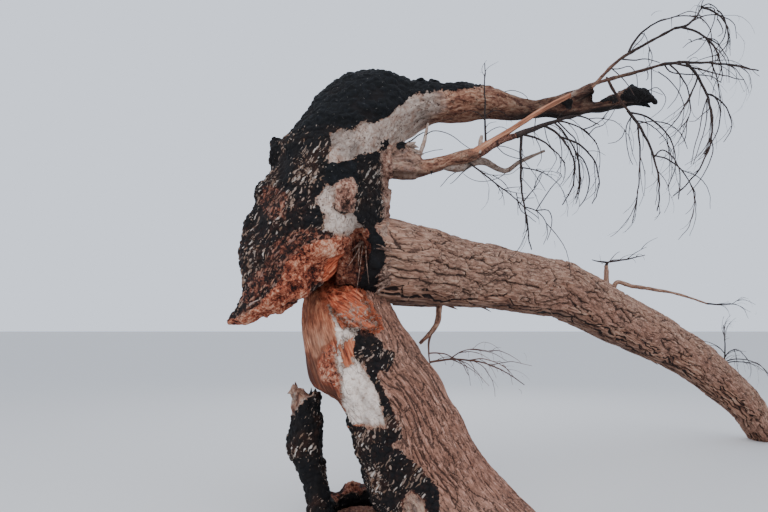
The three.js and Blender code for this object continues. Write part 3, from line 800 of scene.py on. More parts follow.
def bark(grain, around, size, deep, width, seed):
    """Bark: its relief, and how far each point is from the dark line of a crack."""
    inward, strength, own = plates(grain, around, size, 0.55, seed)
    fine_in, fine_strength, fine_own = plates(grain, around * 2 + 1, size * 0.45, 0.7, seed + 40)
    patchy = noise(grain / 0.3, seed + 60)
    strength = smooth(0.15, 0.75, strength + 0.2 * patchy)
    fine_strength = smooth(0.35, 0.95, fine_strength + 0.2 * patchy)
    slope = 1 - smooth(0.0, 4.5 * width, inward)
    fine_slope = 1 - smooth(0.0, 2.2 * width, fine_in)
    relief = -deep * (0.25 + 0.75 * strength) * slope - 0.3 * deep * fine_strength * fine_slope
    relief = relief + deep * (0.5 * (own - 0.5) + 0.2 * (fine_own - 0.5))
    relief = relief + 0.16 * deep * noise(stretched(grain, 0.016, 0.06), seed + 9, 2)
    relief = relief + 0.22 * deep * noise(stretched(grain, 0.04, 0.16), seed + 12, 2)
    crack = np.minimum(inward - width * strength, fine_in - 0.5 * width * fine_strength)
    return relief, crack


def blocks(points, wide, deep, seed):
    """Char cracked into small blocks."""
    inward, own = cells(wobble(points / wide, 0.9, 0.25, seed), seed)
    return deep * (smooth(0.0, 0.45, inward) - 1 + 0.5 * own)


def crumbs(points, seed):
    """Rotten wood that crumbles in lumps."""
    large = np.abs(noise(points / 0.11, seed, 2))
    lumpy = 0.020 * (1 - 2 * large) + 0.008 * noise(points / 0.04, seed + 5)
    return lumpy + 0.004 * noise(points / 0.018, seed + 8)


def ridges(grain, seed):
    """Bare wood with fine ridges along the grain."""
    broad = noise(stretched(grain, 0.05, 0.5), seed)
    return 0.007 * broad + 0.0035 * noise(stretched(grain, 0.02, 0.25), seed + 3)


def flakes(grain, seed):
    """Long flakes that come away from the wood."""
    inward, strength, own = plates(grain, 26, 0.55, 0.8, seed)
    relief = 0.018 * (own - 0.5) - 0.014 * (1 - smooth(0.0, 0.02, inward))
    return relief, inward - 0.006 * strength


# %% Cutting the relief
KINDS = ("flaky", "heart", "rot", "bare", "flecks", "char")
NO_CRACK = 0.02  # so far from the nearest crack that none shows
FOOT = 0.003  # points lower than this belong to the flat cut on the ground


def carve(mesh, grain_of, kinds, plating, lumps):
    """Cuts the relief into a skin and keeps what the paint needs.

    grain_of gives the grain of points. kinds gives the share of each kind of surface from the
    points and the way they face. plating is the bark's number of plates around, their length,
    the depth of the cracks and half their width, and lumps the size and height of lumps.
    """
    points, facing = read(mesh)
    grain = grain_of(points)
    share = {name: np.zeros(len(points)) for name in KINDS + ("warm", "dim", "level")}
    share.update(kinds(points, facing))
    relief, crack = bark(grain, *plating, seed=5)
    none = np.full(len(points), NO_CRACK)
    flaked, flaked_crack = flakes(grain, 13)
    other = {
        "flaky": (flaked, flaked_crack),
        "heart": (ridges(grain, 21) - 0.006, none),
        "rot": (crumbs(points, 35) - 0.004, none),
        "bare": (ridges(grain, 41) - 0.016, none),
        "flecks": (blocks(points, 0.055, 0.014, 51) + 0.008 * noise(points / 0.12, 55, 2), none),
        "char": (blocks(points, 0.07, 0.010, 61) + 0.015 * noise(points / 0.09, 65, 3), none),
    }
    for name, (its, its_crack) in other.items():
        blend = smooth(0.3, 0.7, share[name])
        relief = relief * (1 - blend) + its * blend
        crack = crack * (1 - blend) + its_crack * blend
    relief = relief + lumps[1] * noise(points / lumps[0], 81, 2) + share.pop("level")
    moved = points + facing * relief[:, None]
    moved[:, 2] = np.where(points[:, 2] < FOOT, np.minimum(points[:, 2], 0.0), moved[:, 2])
    moved[:, 2] = np.maximum(moved[:, 2], 0.0)
    write(mesh, moved, grain=grain, crack=crack, relief=relief, **share)
    return mesh


# %% [markdown]
# ## Paint
#
# A material is a chain of nodes. The helper below adds a node for each call and hands back its
# output, so that a finish reads like a recipe. Patterns lie in the grain that was kept on each
# point, or in the object's own coordinates where a surface has no grain.

# %% Colours from their web codes
def tone(code):
    """A colour from its web code, as the shader wants it."""
    parts = [int(code[k : k + 2], 16) / 255 for k in (1, 3, 5)]
    return [c / 12.92 if c < 0.04045 else ((c + 0.055) / 1.055) ** 2.4 for c in parts] + [1]


print("mid grey, as the shader wants it:", tone("#808080"))

# %% A helper that adds nodes
GLOSS = 0.3  # dry wood hardly shines
BUMP = 0.7  # how strongly the finest relief shades


class Paint:
    """A material whose nodes are added one call at a time."""

    def __init__(self, name, roughness):
        self.material = bpy.data.materials.new(name)
        self.material.use_nodes = True
        self.nodes = self.material.node_tree.nodes
        self.shader = self.nodes["Principled BSDF"]
        self.shader.inputs["Roughness"].default_value = roughness
        self.shader.inputs["Specular IOR Level"].default_value = GLOSS
        self.object = self.add("ShaderNodeTexCoord", {}).outputs["Object"]

    def add(self, kind, inputs, **settings):
        node = self.nodes.new(kind)
        for key, value in settings.items():
            setattr(node, key, value)
        for key, value in inputs.items():
            if isinstance(value, bpy.types.NodeSocket):
                self.material.node_tree.links.new(value, node.inputs[key])
            else:
                node.inputs[key].default_value = value
        return node

    def kept(self, name, places=False):
        node = self.add("ShaderNodeAttribute", {}, attribute_name=name)
        return node.outputs["Vector" if places else "Fac"]

    def scaled(self, vector, scale):
        return self.add("ShaderNodeMapping", {"Vector": vector, "Scale": scale}).outputs[0]

    def noise(self, vector, scale, detail=3.0, roughness=0.55):
        given = {"Scale": scale, "Detail": detail, "Roughness": roughness}
        return self.add("ShaderNodeTexNoise", {"Vector": vector, **given}).outputs[0]

    def shaken(self, vector, scale, reach):
        """Places pushed about by noise, so that lines drawn on them waver."""
        push = self.add("ShaderNodeTexNoise", {"Vector": vector, "Scale": scale}).outputs["Color"]
        centred = self.add("ShaderNodeVectorMath", {0: push, 1: (0.5, 0.5, 0.5)}, operation="SUBTRACT")
        given = {0: centred.outputs[0], "Scale": 2 * reach}
        scaled = self.add("ShaderNodeVectorMath", given, operation="SCALE")
        return self.add("ShaderNodeVectorMath", {0: vector, 1: scaled.outputs[0]}, operation="ADD").outputs[0]

    def cracks(self, vector, scale):
        given = {"Vector": vector, "Scale": scale}
        node = self.add("ShaderNodeTexVoronoi", given, feature="DISTANCE_TO_EDGE")
        return node.outputs["Distance"]

    def sum(self, how, a, b, c=None):
        given = {0: a, 1: b} if c is None else {0: a, 1: b, 2: c}
        return self.add("ShaderNodeMath", given, operation=how).outputs[0]

    def step(self, value, low, high, to_low=0.0, to_high=1.0):
        given = {"Value": value, "From Min": low, "From Max": high}
        given.update({"To Min": to_low, "To Max": to_high})
        node = self.add("ShaderNodeMapRange", given, interpolation_type="SMOOTHSTEP")
        return node.outputs["Result"]

    def blend(self, share, a, b):
        node = self.add("ShaderNodeMix", {"Factor": share}, data_type="RGBA")
        links = self.material.node_tree.links
        for socket, value in ((node.inputs[6], a), (node.inputs[7], b)):
            if isinstance(value, bpy.types.NodeSocket):
                links.new(value, socket)
            else:
                socket.default_value = value
        return node.outputs[2]

    def ramp(self, value, *stops):
        node = self.add("ShaderNodeValToRGB", {"Fac": value})
        band = node.color_ramp
        while len(band.elements) < len(stops):
            band.elements.new(0.5)
        for element, (place, color) in zip(band.elements, stops):
            element.position = place
            element.color = tone(color)
        return node.outputs["Color"]

    def finish(self, color, height, distance):
        links = self.material.node_tree.links
        links.new(color, self.shader.inputs["Base Color"])
        given = {"Height": height, "Distance": distance, "Strength": BUMP}
        bump = self.add("ShaderNodeBump", given).outputs[0]
        links.new(bump, self.shader.inputs["Normal"])
        return self.material


# %% [markdown]
# ## The wood's finish
#
# One material covers the whole trunk, because the kinds of surface run into each other: grey
# bark, flaking wood, orange inner wood, crumbling rot, bare wood, char with pale flecks and plain
# black char. Each has its colours as a small function, and the kept shares lay one over the other. The
# shares are sharpened with fine noise, which turns a soft border into a torn one.

# %% Colours of bark and of flaking wood
def bark_colour(paint, grain, warm):
    """Bark: grey-brown, and pinker where warm is 1."""
    streaks = paint.noise(paint.scaled(grain, (1, 1, 0.24)), 50.0, 7.0, 0.72)
    grey = paint.ramp(
        streaks, (0.34, "#4a3229"), (0.43, "#7c594a"), (0.5, "#9b7561"), (0.57, "#b38f79"), (0.67, "#d2b39f")
    )
    pink = paint.ramp(
        streaks, (0.34, "#3c231c"), (0.43, "#6a4235"), (0.5, "#8a5c4a"), (0.57, "#a77664"), (0.67, "#cba290")
    )
    color = paint.blend(paint.step(warm, 0.0, 1.0), grey, pink)
    broad = paint.noise(grain, 2.4, 4.0)
    tinted = paint.ramp(broad, (0.36, "#7f5f50"), (0.5, "#977562"), (0.64, "#ab8b78"))
    color = paint.blend(0.28, color, tinted)
    net = paint.cracks(paint.scaled(paint.shaken(grain, 9.0, 0.05), (1, 1, 0.3)), 30.0)
    some = paint.step(paint.noise(grain, 6.0, 2.0), 0.42, 0.58)
    thin = paint.sum("MULTIPLY", paint.step(net, 0.07, 0.01), some)
    color = paint.blend(paint.sum("MULTIPLY", thin, 0.6), color, tone("#3d2d28"))
    ragged = paint.sum("MULTIPLY_ADD", paint.noise(grain, 85.0, 3.0), 0.012, -0.006)
    dark = paint.step(paint.sum("ADD", paint.kept("crack"), ragged), 0.003, -0.0008)
    return paint.blend(paint.sum("MULTIPLY", dark, 0.82), color, tone("#33221d")), streaks, thin


def flaky_colour(paint, grain):
    """Wood that has shed its bark: brown, and dark between its flakes."""
    lines = paint.noise(paint.scaled(grain, (1, 1, 0.12)), 36.0, 5.0, 0.66)
    color = paint.ramp(lines, (0.36, "#38211b"), (0.45, "#755141"), (0.54, "#9c745f"), (0.66, "#bd9c87"))
    ragged = paint.sum("MULTIPLY_ADD", paint.noise(grain, 70.0, 3.0), 0.012, -0.006)
    dark = paint.step(paint.sum("ADD", paint.kept("crack"), ragged), 0.008, 0.002)
    return paint.blend(dark, color, tone("#211411"))


# %% Colours of inner wood and of rot
def heart_colour(paint, grain, warm):
    """Inner wood: orange-brown, red where warm is 1 and tan where it is -1."""
    lines = paint.noise(paint.scaled(grain, (1, 1, 0.06)), 48.0, 5.0, 0.64)
    plain = paint.ramp(lines, (0.34, "#43221a"), (0.44, "#7f452f"), (0.53, "#a96245"), (0.68, "#cc8f6b"))
    red = paint.ramp(lines, (0.34, "#591d12"), (0.45, "#964028"), (0.54, "#bd5f40"), (0.68, "#d98f68"))
    tan = paint.ramp(lines, (0.34, "#74503f"), (0.45, "#a67a60"), (0.54, "#c9977a"), (0.68, "#dfbb9f"))
    broad = paint.noise(paint.scaled(grain, (1, 1, 0.4)), 6.0, 3.0)
    plain = paint.blend(paint.step(broad, 0.45, 0.68, 0.0, 0.75), plain, tone("#64382a"))
    plain = paint.blend(paint.step(warm, 0.0, -1.0), plain, tan)
    return paint.blend(paint.step(warm, 0.0, 1.0), plain, red)


def rot_colour(paint, warm):
    """Crumbling wood: dry and grey-brown, and red where warm is 1."""
    lumps = paint.noise(paint.object, 34.0, 8.0, 0.76)
    # The relief moves the colour: pits are painted darker, as shade, and raised crumbs lighter, as light on
    # them.
    lumps = paint.sum("MULTIPLY_ADD", paint.kept("relief"), 3.0, lumps)
    red = paint.ramp(
        lumps, (0.40, "#180b09"), (0.47, "#5e281d"), (0.53, "#9c4f37"), (0.59, "#bb785a"), (0.69, "#d9b096")
    )
    dry = paint.ramp(
        lumps, (0.38, "#2b1f1b"), (0.46, "#5f483e"), (0.52, "#876d5f"), (0.6, "#a58c7c"), (0.72, "#c4b1a2")
    )
    return paint.blend(warm, dry, red)


# %% Colours of bare wood
def bare_colour(paint, grain, warm):
    """Bare wood: grey, tan and mottled where warm is 1, and bleached where it is -1."""
    mixed = paint.noise(paint.object, 34.0, 8.0, 0.72)
    grey = paint.ramp(mixed, (0.34, "#7e6a5e"), (0.44, "#a08c7f"), (0.52, "#b2a093"), (0.66, "#c5b6aa"))
    stained = paint.step(paint.noise(paint.object, 12.0, 6.0, 0.7), 0.5, 0.64, 0.0, 0.6)
    grey = paint.blend(stained, grey, tone("#8e6a57"))
    mottle = paint.noise(paint.scaled(paint.shaken(grain, 11.0, 0.03), (1, 1, 0.3)), 30.0, 6.0, 0.68)
    tan = paint.ramp(
        mottle, (0.35, "#3a1e17"), (0.43, "#6c4132"), (0.5, "#936650"), (0.58, "#ad866e"), (0.7, "#c6a991")
    )
    white = paint.ramp(mixed, (0.36, "#b8a192"), (0.45, "#dccabc"), (0.58, "#efe1d5"))
    color = paint.blend(paint.step(warm, 0.0, -1.0), grey, white)
    color = paint.blend(paint.step(warm, 0.0, 1.0), color, tan)
    net = paint.cracks(paint.scaled(paint.shaken(grain, 8.0, 0.06), (1, 1, 0.2)), 22.0)
    some = paint.step(paint.noise(grain, 7.0, 2.0), 0.45, 0.58)
    thin = paint.sum("MULTIPLY", paint.step(net, 0.06, 0.01), some)
    color = paint.blend(paint.sum("MULTIPLY", thin, 0.65), color, tone("#54443b"))
    specks = paint.step(paint.noise(paint.object, 44.0, 3.0), 0.61, 0.65)
    specks = paint.sum("MULTIPLY", specks, paint.step(warm, -0.6, -0.1, 0.25, 0.85))
    return paint.blend(specks, color, tone("#3f241c"))


# %% Colours of char
def fleck_colour(paint, warm):
    """Checked char with pale strokes: red-brown where warm is 1, and fewer strokes where it is -1."""
    turned = paint.shaken(paint.object, 3.0, 0.12)
    turned = paint.add("ShaderNodeMapping", {"Vector": turned, "Rotation": (0, -0.6, 0)}).outputs[0]
    dashes = paint.scaled(paint.shaken(turned, 24.0, 0.010), (1, 1, 0.2))
    spots = paint.add("ShaderNodeTexVoronoi", {"Vector": dashes, "Scale": 56.0})
    drawn_in = paint.sum("MULTIPLY_ADD", paint.noise(paint.object, 95.0, 3.0), 0.4, spots.outputs["Distance"])
    number = paint.add("ShaderNodeSeparateColor", {"Color": spots.outputs["Color"]})
    patchy = paint.noise(paint.object, 6.0, 4.0, 0.6)
    width = paint.sum("MULTIPLY_ADD", number.outputs[0], 0.55, 0.19)
    width = paint.sum("MULTIPLY_ADD", paint.sum("SUBTRACT", patchy, 0.5), 1.5, width)
    width = paint.sum("MULTIPLY_ADD", paint.sum("MINIMUM", warm, 0.0), 0.22, width)
    warm = paint.step(warm, 0.0, 1.0)
    lit = paint.sum("SUBTRACT", width, drawn_in)
    flecks = paint.step(lit, -0.05, 0.08)
    pale = paint.ramp(
        number.outputs[1], (0.1, "#78604f"), (0.4, "#9d8a7d"), (0.7, "#705544"), (0.9, "#bcb0a5")
    )
    brown = paint.ramp(number.outputs[1], (0.2, "#8a5240"), (0.5, "#a97a63"), (0.8, "#74402f"))
    pale = paint.blend(paint.sum("MULTIPLY", warm, 0.8), pale, brown)
    black = paint.ramp(patchy, (0.38, "#0b0b0e"), (0.52, "#120e0d"), (0.66, "#2a1812"))
    mixed = paint.noise(paint.object, 30.0, 6.0, 0.7)
    rusty = paint.ramp(mixed, (0.42, "#120d0d"), (0.52, "#3a1f18"), (0.6, "#774232"), (0.7, "#a0705a"))
    base = paint.blend(warm, black, rusty)
    return paint.blend(flecks, base, pale), flecks


def char_colour(paint):
    """Plain char: black with a faint painted sheen, and a few pale specks that stand for ash and for painted
    glints.
    """
    # Painted sheen: lighter, bluish patches in the black.
    sheen = paint.noise(paint.object, 24.0, 6.0, 0.72)
    color = paint.ramp(sheen, (0.36, "#030405"), (0.5, "#07090c"), (0.62, "#101318"), (0.74, "#26272a"))
    # Pale specks: ash, and painted glints.
    specks = paint.step(paint.noise(paint.object, 60.0, 3.0), 0.68, 0.73)
    return paint.blend(paint.sum("MULTIPLY", specks, 0.6), color, tone("#97908a"))


# %% Laying them over each other
def sharpened(paint, name, fine):
    """A kept share as a torn patch: fine noise shifts its border, and a steep step cuts it."""
    shifted = paint.sum("MULTIPLY_ADD", paint.sum("SUBTRACT", fine, 0.5), 1.6, paint.kept(name))
    return paint.step(shifted, 0.44, 0.56)


def wood_paint():
    """The finish of every limb, from the shares that are kept on its points."""
    paint = Paint("wood", 0.92)
    grain = paint.kept("grain", places=True)
    warm = paint.kept("warm")
    fine = paint.noise(paint.object, 32.0, 6.0, 0.66)
    color, streaks, thin = bark_colour(paint, grain, warm)
    height = paint.sum("SUBTRACT", paint.sum("MULTIPLY", streaks, 1.2), thin)
    rough = paint.noise(paint.object, 60.0, 6.0, 0.75)
    fibres = paint.noise(paint.scaled(grain, (1, 1, 0.08)), 60.0, 4.0, 0.6)
    flecked, flecks = fleck_colour(paint, warm)
    layers = {
        "flaky": (flaky_colour(paint, grain), paint.sum("MULTIPLY", fibres, 1.5)),
        "heart": (heart_colour(paint, grain, warm), fibres),
        "rot": (rot_colour(paint, paint.step(warm, 0.0, 1.0)), paint.sum("MULTIPLY", rough, 2.4)),
        "bare": (bare_colour(paint, grain, warm), paint.sum("MULTIPLY_ADD", rough, 0.5, fibres)),
        "flecks": (flecked, paint.sum("MULTIPLY_ADD", flecks, 0.6, rough)),
        "char": (char_colour(paint), paint.sum("MULTIPLY", rough, 1.6)),
    }
    for name, (its, relief) in layers.items():
        share = sharpened(paint, name, fine)
        color = paint.blend(share, color, its)
        part = paint.sum("MULTIPLY", share, relief)
        height = paint.sum("MULTIPLY_ADD", height, paint.sum("SUBTRACT", 1.0, share), part)
    # Painted shade: the deepest parts of the relief, in grooves and hollows, are darkened toward dark brown.
    low = paint.step(paint.kept("relief"), -0.008, -0.034, 0.0, 0.5)
    color = paint.blend(low, color, tone("#1d1412"))
    # dim darkens toward near black: painted shade in the gap, in the fallen trunk's hollow end and on
    # undersides that face down, and elsewhere soot and the wood's own darker tone.
    color = paint.blend(paint.kept("dim"), color, tone("#130d0c"))
    return paint.finish(color, height, 0.012)


WOOD = wood_paint()
print("nodes in the wood's finish:", len(WOOD.node_tree.nodes))

# %% [markdown]
# ## The stump
#
# A leaning trunk 0.8 m thick with a flare at its foot. Its left side burnt out from the ground
# to waist height, which left a charred hollow under an arch. The wall above the arch is
# smooth orange inner wood, a bleached strip runs down the front, and grey bark with long furrows
# covers the rest. The hollow is pressed into the body before it gets its skin.

# %% Where each kind of wood shows on the stump
UNDER = 0.025  # how far a zone reaches under the ones over it
HOLLOW_REACH = 1.25  # how far char spreads round the hollow, in hollow sizes


def in_hollow(points):
    """How much points lie on the wall of the burnt hollow."""
    near = (points - np.array(HOLLOW["at"])) / np.array(HOLLOW["size"])
    return smooth(HOLLOW_REACH, 1.02, np.linalg.norm(near, axis=1))


def stump_grain(points):
    """The grain, turned aslant where the wood is splintered."""
    grain = stump_spine.grain(points)
    grain[:, 0] += 0.9 * zone(points, "splinters") * grain[:, 2]
    return grain


def stump_kinds(points, facing):
    """The stump: orange wall, pale ridge, bleached strip and burn on it, and bark elsewhere."""
    bleach = zone(points, "bleach")
    ridge = zone(points, "ridge")
    crumbled = zone(points, "crumbled_edge", grow=0.3 * UNDER)
    pale = zone(points, "pale_low")
    bare = np.max([bleach, pale, ridge], axis=0)
    red = zone(points, "red_spot")
    hollow = in_hollow(points) * smooth(1.05, 0.9, points[:, 2])
    wall = zone(points, "wall", "crumbled_edge", "ridge", "red_spot", grow=UNDER)
    chips = zone(points, "splinters", grow=UNDER)
    loose = chips * smooth(1.85, 1.65, points[:, 2] - 0.6 * (points[:, 0] + 1.0))
    burn = np.maximum(zone(points, "burn", grow=0.4 * UNDER), hollow) * (1 - np.maximum(pale, ridge))
    wood = np.max([wall, red, chips, burn, bare], axis=0)
    warm = 0.8 * (1 - wood) + 0.45 * red + chips * (0.85 - 0.4 * loose) + 0.75 * crumbled * (1 - ridge)
    low = zone(points, "wall") * smooth(1.70, 1.48, points[:, 2]) * (1 - np.maximum(crumbled, red))
    warm -= 0.42 * low
    warm = warm - 0.5 * ridge - 0.7 * bleach * (1 - red) + 0.6 * pale + 0.15 * burn * (1 - hollow)
    rim = zone(points, "dark_rim") * (1 - crumbled) * (1 - bare)
    fibrous = noise(stretched(stump_grain(points), 0.035, 0.25), 98, 2)
    return {
        "heart": np.max([wall, red, chips], axis=0),
        "rot": np.max([0.36 * chips, zone(points, "tan_low"), 0.62 * crumbled], axis=0),
        "bare": np.maximum(bare, 0.46 * loose) * (1 - red),
        "warm": np.clip(warm + 0.5 * rim, -1, 1),
        "flecks": burn,
        "char": np.maximum(
            0.92 * hollow * (1 - bare) * smooth(-0.2, 0.3, noise(points / 0.12, 99, 3) + 0.2),
            zone(points, "burnt_edge"),
        ),
        "dim": np.clip(0.55 * rim + 0.12 * (chips - loose), 0, 1),
        "level": 0.022 * ridge + 0.014 * crumbled + 0.03 * chips * fibrous,
    }


# %% Making the stump
stump_body = pressed(upright(STUMP_ROWS, 0.4, 0.05), HOLLOW, 0)
stump_mesh = fused("stump_wood", [pressed(stump_body, SPLIT, 1)])
carve(stump_mesh, stump_grain, stump_kinds, plating=(58, 0.30, 0.014, 0.0042), lumps=(0.35, 0.016))
placed(slimmed(stump_mesh), "bark", WOOD, "stump")

# %% [markdown]
# ## The charred stub and the rotten rim
#
# Of the trunk's left wall only a stub is left, waist high and charred all over but for its pale
# top. A low rim of rotten wood joins it to the stump round the back, over a floor of dark rot.

# %% Where each kind of wood shows on the stub, the rim and the floor
def stub_kinds(points, facing):
    """The stub: checked char with a pale, bare top."""
    top = zone(points, "stub_top")
    return {
        "bare": top,
        "warm": 0.8 * top - 0.75 * (1 - top),
        "flecks": 0.9 * (1 - top),
    }


def rim_kinds(points, facing):
    """The rim: rotten wood, red on top and charred at its sides."""
    top = smooth(0.25, 0.65, facing[:, 2] + 0.3 * noise(points / 0.08, 90, 3))
    return {
        "rot": np.ones(len(points)),
        "warm": 0.75 * top - 0.4 * (1 - top),
        "flecks": 0.85 * (1 - top),
        "dim": np.full(len(points), 0.3),
        "level": 0.03 * noise(points / 0.16, 88, 3) - 0.015,
    }


def floor_kinds(points, facing):
    """The floor: dark, reddish rot."""
    even = np.full(len(points), 0.6)
    return {"rot": np.ones(len(points)), "warm": even, "dim": even}


# %% Making the stub, the rim and the floor
ROUGH_PLATES = (16, 0.2, 0.012, 0.005)  # of the bark, which char and rot cover here
STUB_SHOULDER = {"at": (-1.245, 0.03, 0.985), "size": (0.06, 0.09, 0.075)}
STUB_PEAK = {"at": (-1.375, 0.02, 1.03), "size": (0.065, 0.08, 0.06)}
stub_spine = Spine(middle_rows(STUB_ROWS))
stub_body = [upright(STUB_ROWS, 2.2, 0.12, 40, 0.02), lump(STUB_SHOULDER), lump(STUB_PEAK)]
stub_mesh = fused("stub_wood", stub_body)
carve(stub_mesh, stub_spine.grain, stub_kinds, ROUGH_PLATES, lumps=(0.16, 0.022))
placed(stub_mesh, "charred_wood", WOOD, "charred_stub")

rim_mesh = fused("rim_wood", [limb(RIM_ROWS, 0.9, 0.15)])
carve(rim_mesh, Spine(RIM_ROWS).grain, rim_kinds, ROUGH_PLATES, lumps=(0.12, 0.016))
placed(rim_mesh, "rotten_wood", WOOD, "hollow_rim")

floor_mesh = fused("floor_wood", [lump(HOLLOW_FLOOR)], SKIN * 1.4)
carve(floor_mesh, stump_spine.grain, floor_kinds, ROUGH_PLATES, lumps=(0.12, 0.014))
placed(floor_mesh, "rotten_wood", WOOD, "hollow_floor")

# %% [markdown]
# ## The head
#
# The head is what is left of the fork: a mass of char two metres tall with a plain black cap,
# bare grey patches, and a torn flap of crumbling wood that hangs down at the left. The two boughs
# grow out of it without a seam, so the upper one, and the lower one as far as it is thick, are
# fused to it in the same skin.

# %% The boughs on the head, and what sits on them
BOUGH_ROWS = UPPER_BOUGH_ROWS[:-1] + UPPER_TIP_ROWS[:-1] + CHARRED_END_ROWS
LOWER_TAPER_ROWS = [[0.1, -0.18, 3.005, 0.05], [0.2, -0.2, 3.05, 0.03]]
TORN_ROOT = {"at": (-0.54, -0.10, 2.97), "size": (0.14, 0.11, 0.125)}
KNOB_FOOT = {"at": (-1.55, -0.06, 3.0), "size": (0.10, 0.15, 0.16)}
CRUST_REACH = (0.16, 0.355)  # as shares of the bough's rows
CRUST_LUMPS = 26
TORN_BARK_ROWS = [[0.62, -0.04, 3.46, 0.05], [0.85, -0.07, 3.488, 0.058], [1.12, -0.09, 3.585, 0.06]]
CHARRED_SPIKES = (
    [[1.38, -0.03, 3.53, 0.06], [1.45, -0.03, 3.58, 0.04], [1.49, -0.03, 3.62, 0.015]],
    [[1.2, -0.03, 3.5, 0.05], [1.28, -0.03, 3.54, 0.03], [1.35, -0.03, 3.57, 0.01]],
)
bough_spine = Spine(BOUGH_ROWS)
lower_spine = Spine(LOWER_BOUGH_ROWS + LOWER_TAPER_ROWS)


def crust():
    """Lumps of char in a row along the upper bough's top."""
    first, last = CRUST_REACH
    for k in range(CRUST_LUMPS):
        place = np.array([[k, 0, 0], [k, 1, 0], [k, 2, 0]])
        size, shift, high = dice(place, 19)
        x, y, z, radius = along(BOUGH_ROWS, first + (last - first) * k / (CRUST_LUMPS - 1))
        wide = 0.012 + 0.016 * size
        at = (x, y + radius * (shift - 0.5), z + radius * (0.82 + 0.1 * high))
        yield {"at": at, "size": (2.4 * wide, 1.8 * wide, wide)}


# %% Which bough a point belongs to
def on_bough(points):
    """Whether points lie on the upper bough or the shoulder it grows from."""
    return points[:, 2] > 2.98 + 0.12 * smooth(-1.0, -0.4, points[:, 0])


def on_stub(points):
    """Whether points lie on the lower bough's thick stub."""
    ragged = points[:, 0] + 0.05 * noise(points / 0.07, 91, 2)
    return (ragged > -0.62) & ~on_bough(points)


def head_grain(points):
    """The grain of the head and of each bough, set apart so that their patterns differ."""
    grain = head_spine.grain(points)
    grain = np.where(on_bough(points)[:, None], bough_spine.grain(points) + 3.0, grain)
    return np.where(on_stub(points)[:, None], lower_spine.grain(points) + 6.0, grain)


# %% Where each kind of wood shows on the head
def head_kinds(points, facing):
    """The head and its boughs: char with pale flecks, and all the zones drawn on it."""
    x, z = points[:, 0], points[:, 2]
    bough = on_bough(points) * smooth(-0.62, -0.50, x)
    stub = on_stub(points) * 1.0
    char = zone(points, "cap", "block", "bough_end", "crust", "pits", "knot")
    band = zone(points, "band", grow=0.3 * UNDER)
    tongue = zone(points, "tongue")
    void = zone(points, "gap")
    strip = zone(points, "strip") * (1 - stub)
    embers = zone(points, "embers")
    rust = zone(points, "rust")
    patch = zone(points, "red_patch")
    crumbly = zone(points, "crumbs")
    rot = np.max([crumbly, strip, void, 0.48 * rust, 0.35 * embers, patch], axis=0)
    torn = stub * smooth(-0.30, -0.44, x)
    bare = zone(points, "bare_top", "bare_mid", grow=0.3 * UNDER)
    bare = np.max([bare * (1 - 0.55 * patch), bough, stub], axis=0)
    # under is 1 where the surface faces down; through dim it paints shade there.
    under = smooth(-0.55, -0.95, facing[:, 2] + 0.2 * noise(points / 0.15, 94))
    covered = np.max([bare, crumbly, strip, void, tongue, patch], axis=0)
    fibrous = noise(stretched(head_grain(points), 0.03, 0.25), 98, 2)
    brown = smooth(-0.50, -0.04, x + 0.25 * noise(points / 0.2, 93)) * bough
    sooty = 0.42 * smooth(2.75, 2.3, z + 0.35 * noise(points / 0.25, 92, 3)) * smooth(-0.95, -1.3, x)
    grey = zone(points, "bare_mid") * (1 - patch)
    red = np.clip(crumbly + 0.5 * patch + embers + rust + void, 0, 1) * (1 - stub)
    checked = (1 - covered) * (1 - np.maximum(red, sooty)) + 0.6 * band
    warm = brown + (0.9 - 0.3 * torn) * stub + 0.8 * tongue + 0.85 * red + sooty
    warm = warm - 0.35 * grey - 0.35 * checked + 0.35 * strip
    out = smooth(0.0, 0.6, x) * bough
    swell = bough * smooth(0.12, 0.36, x) * smooth(0.66, 0.40, x)
    return {
        "heart": tongue,
        "rot": rot * (1 - 0.52 * tongue),
        "bare": bare * (1 - strip),
        "warm": np.clip(warm, -1, 1),
        "flecks": np.maximum(1 - covered, band),
        "char": char,
        # dim: painted shade in the gap and on the undersides of the brown bough and the stub, soot on the
        # band, and the wood's own darker tone further out on the bough, on the stub and on the strip.
        "dim": np.clip(
            0.62 * void + 0.3 * under * (brown + stub) + 0.35 * band + 0.14 * brown * bough + 0.55 * out
            + 0.22 * stub + 0.15 * strip, 0, 1,
        ),
        "level": 0.008 * bough + 0.028 * swell + 0.006 * stub + 0.026 * torn * fibrous + 0.012 * patch,
    }


# %% Making the head with its boughs
head_body = [upright(HEAD_ROWS, 1.3, 0.04, 72), lump(HEAD_KNOB), lump(HEAD_CHEEK), lump(KNOB_FOOT)]
head_body = [pressed(body, SPLIT, 1) for body in head_body]
head_body.append(limb(BOUGH_ROWS, 1.9, 0.06, rough=0.04, rough_size=0.08))
head_body.append(limb(LOWER_BOUGH_ROWS + LOWER_TAPER_ROWS, 2.6, 0.09, rough=0.06, rough_size=0.08))
head_body.append(lump(TORN_ROOT))
head_body += [lump(spec, 3) for spec in crust()]
head_body += [limb(rows, 0.7, 0.2, 16, 0.02) for rows in (TORN_BARK_ROWS, *CHARRED_SPIKES)]
head_mesh = fused("head_wood", head_body)
carve(head_mesh, head_grain, head_kinds, plating=(30, 0.2, 0.016, 0.005), lumps=(0.22, 0.024))
placed(
    slimmed(head_mesh), "charred_wood", WOOD,
    "broken_head", "upper_bough", "lower_bough", "upper_bough_tip", "charred_end",
)

# %% [markdown]
# ## The fallen trunk
#
# Over seven metres of trunk in grey bark, cut by long, wavering furrows a hand's breadth apart. Its
# underside has shed its bark and shows flaking brown wood. It is one limb, carved as one, and
# then parted in two pieces where its solids meet, so that neither has too many faces.

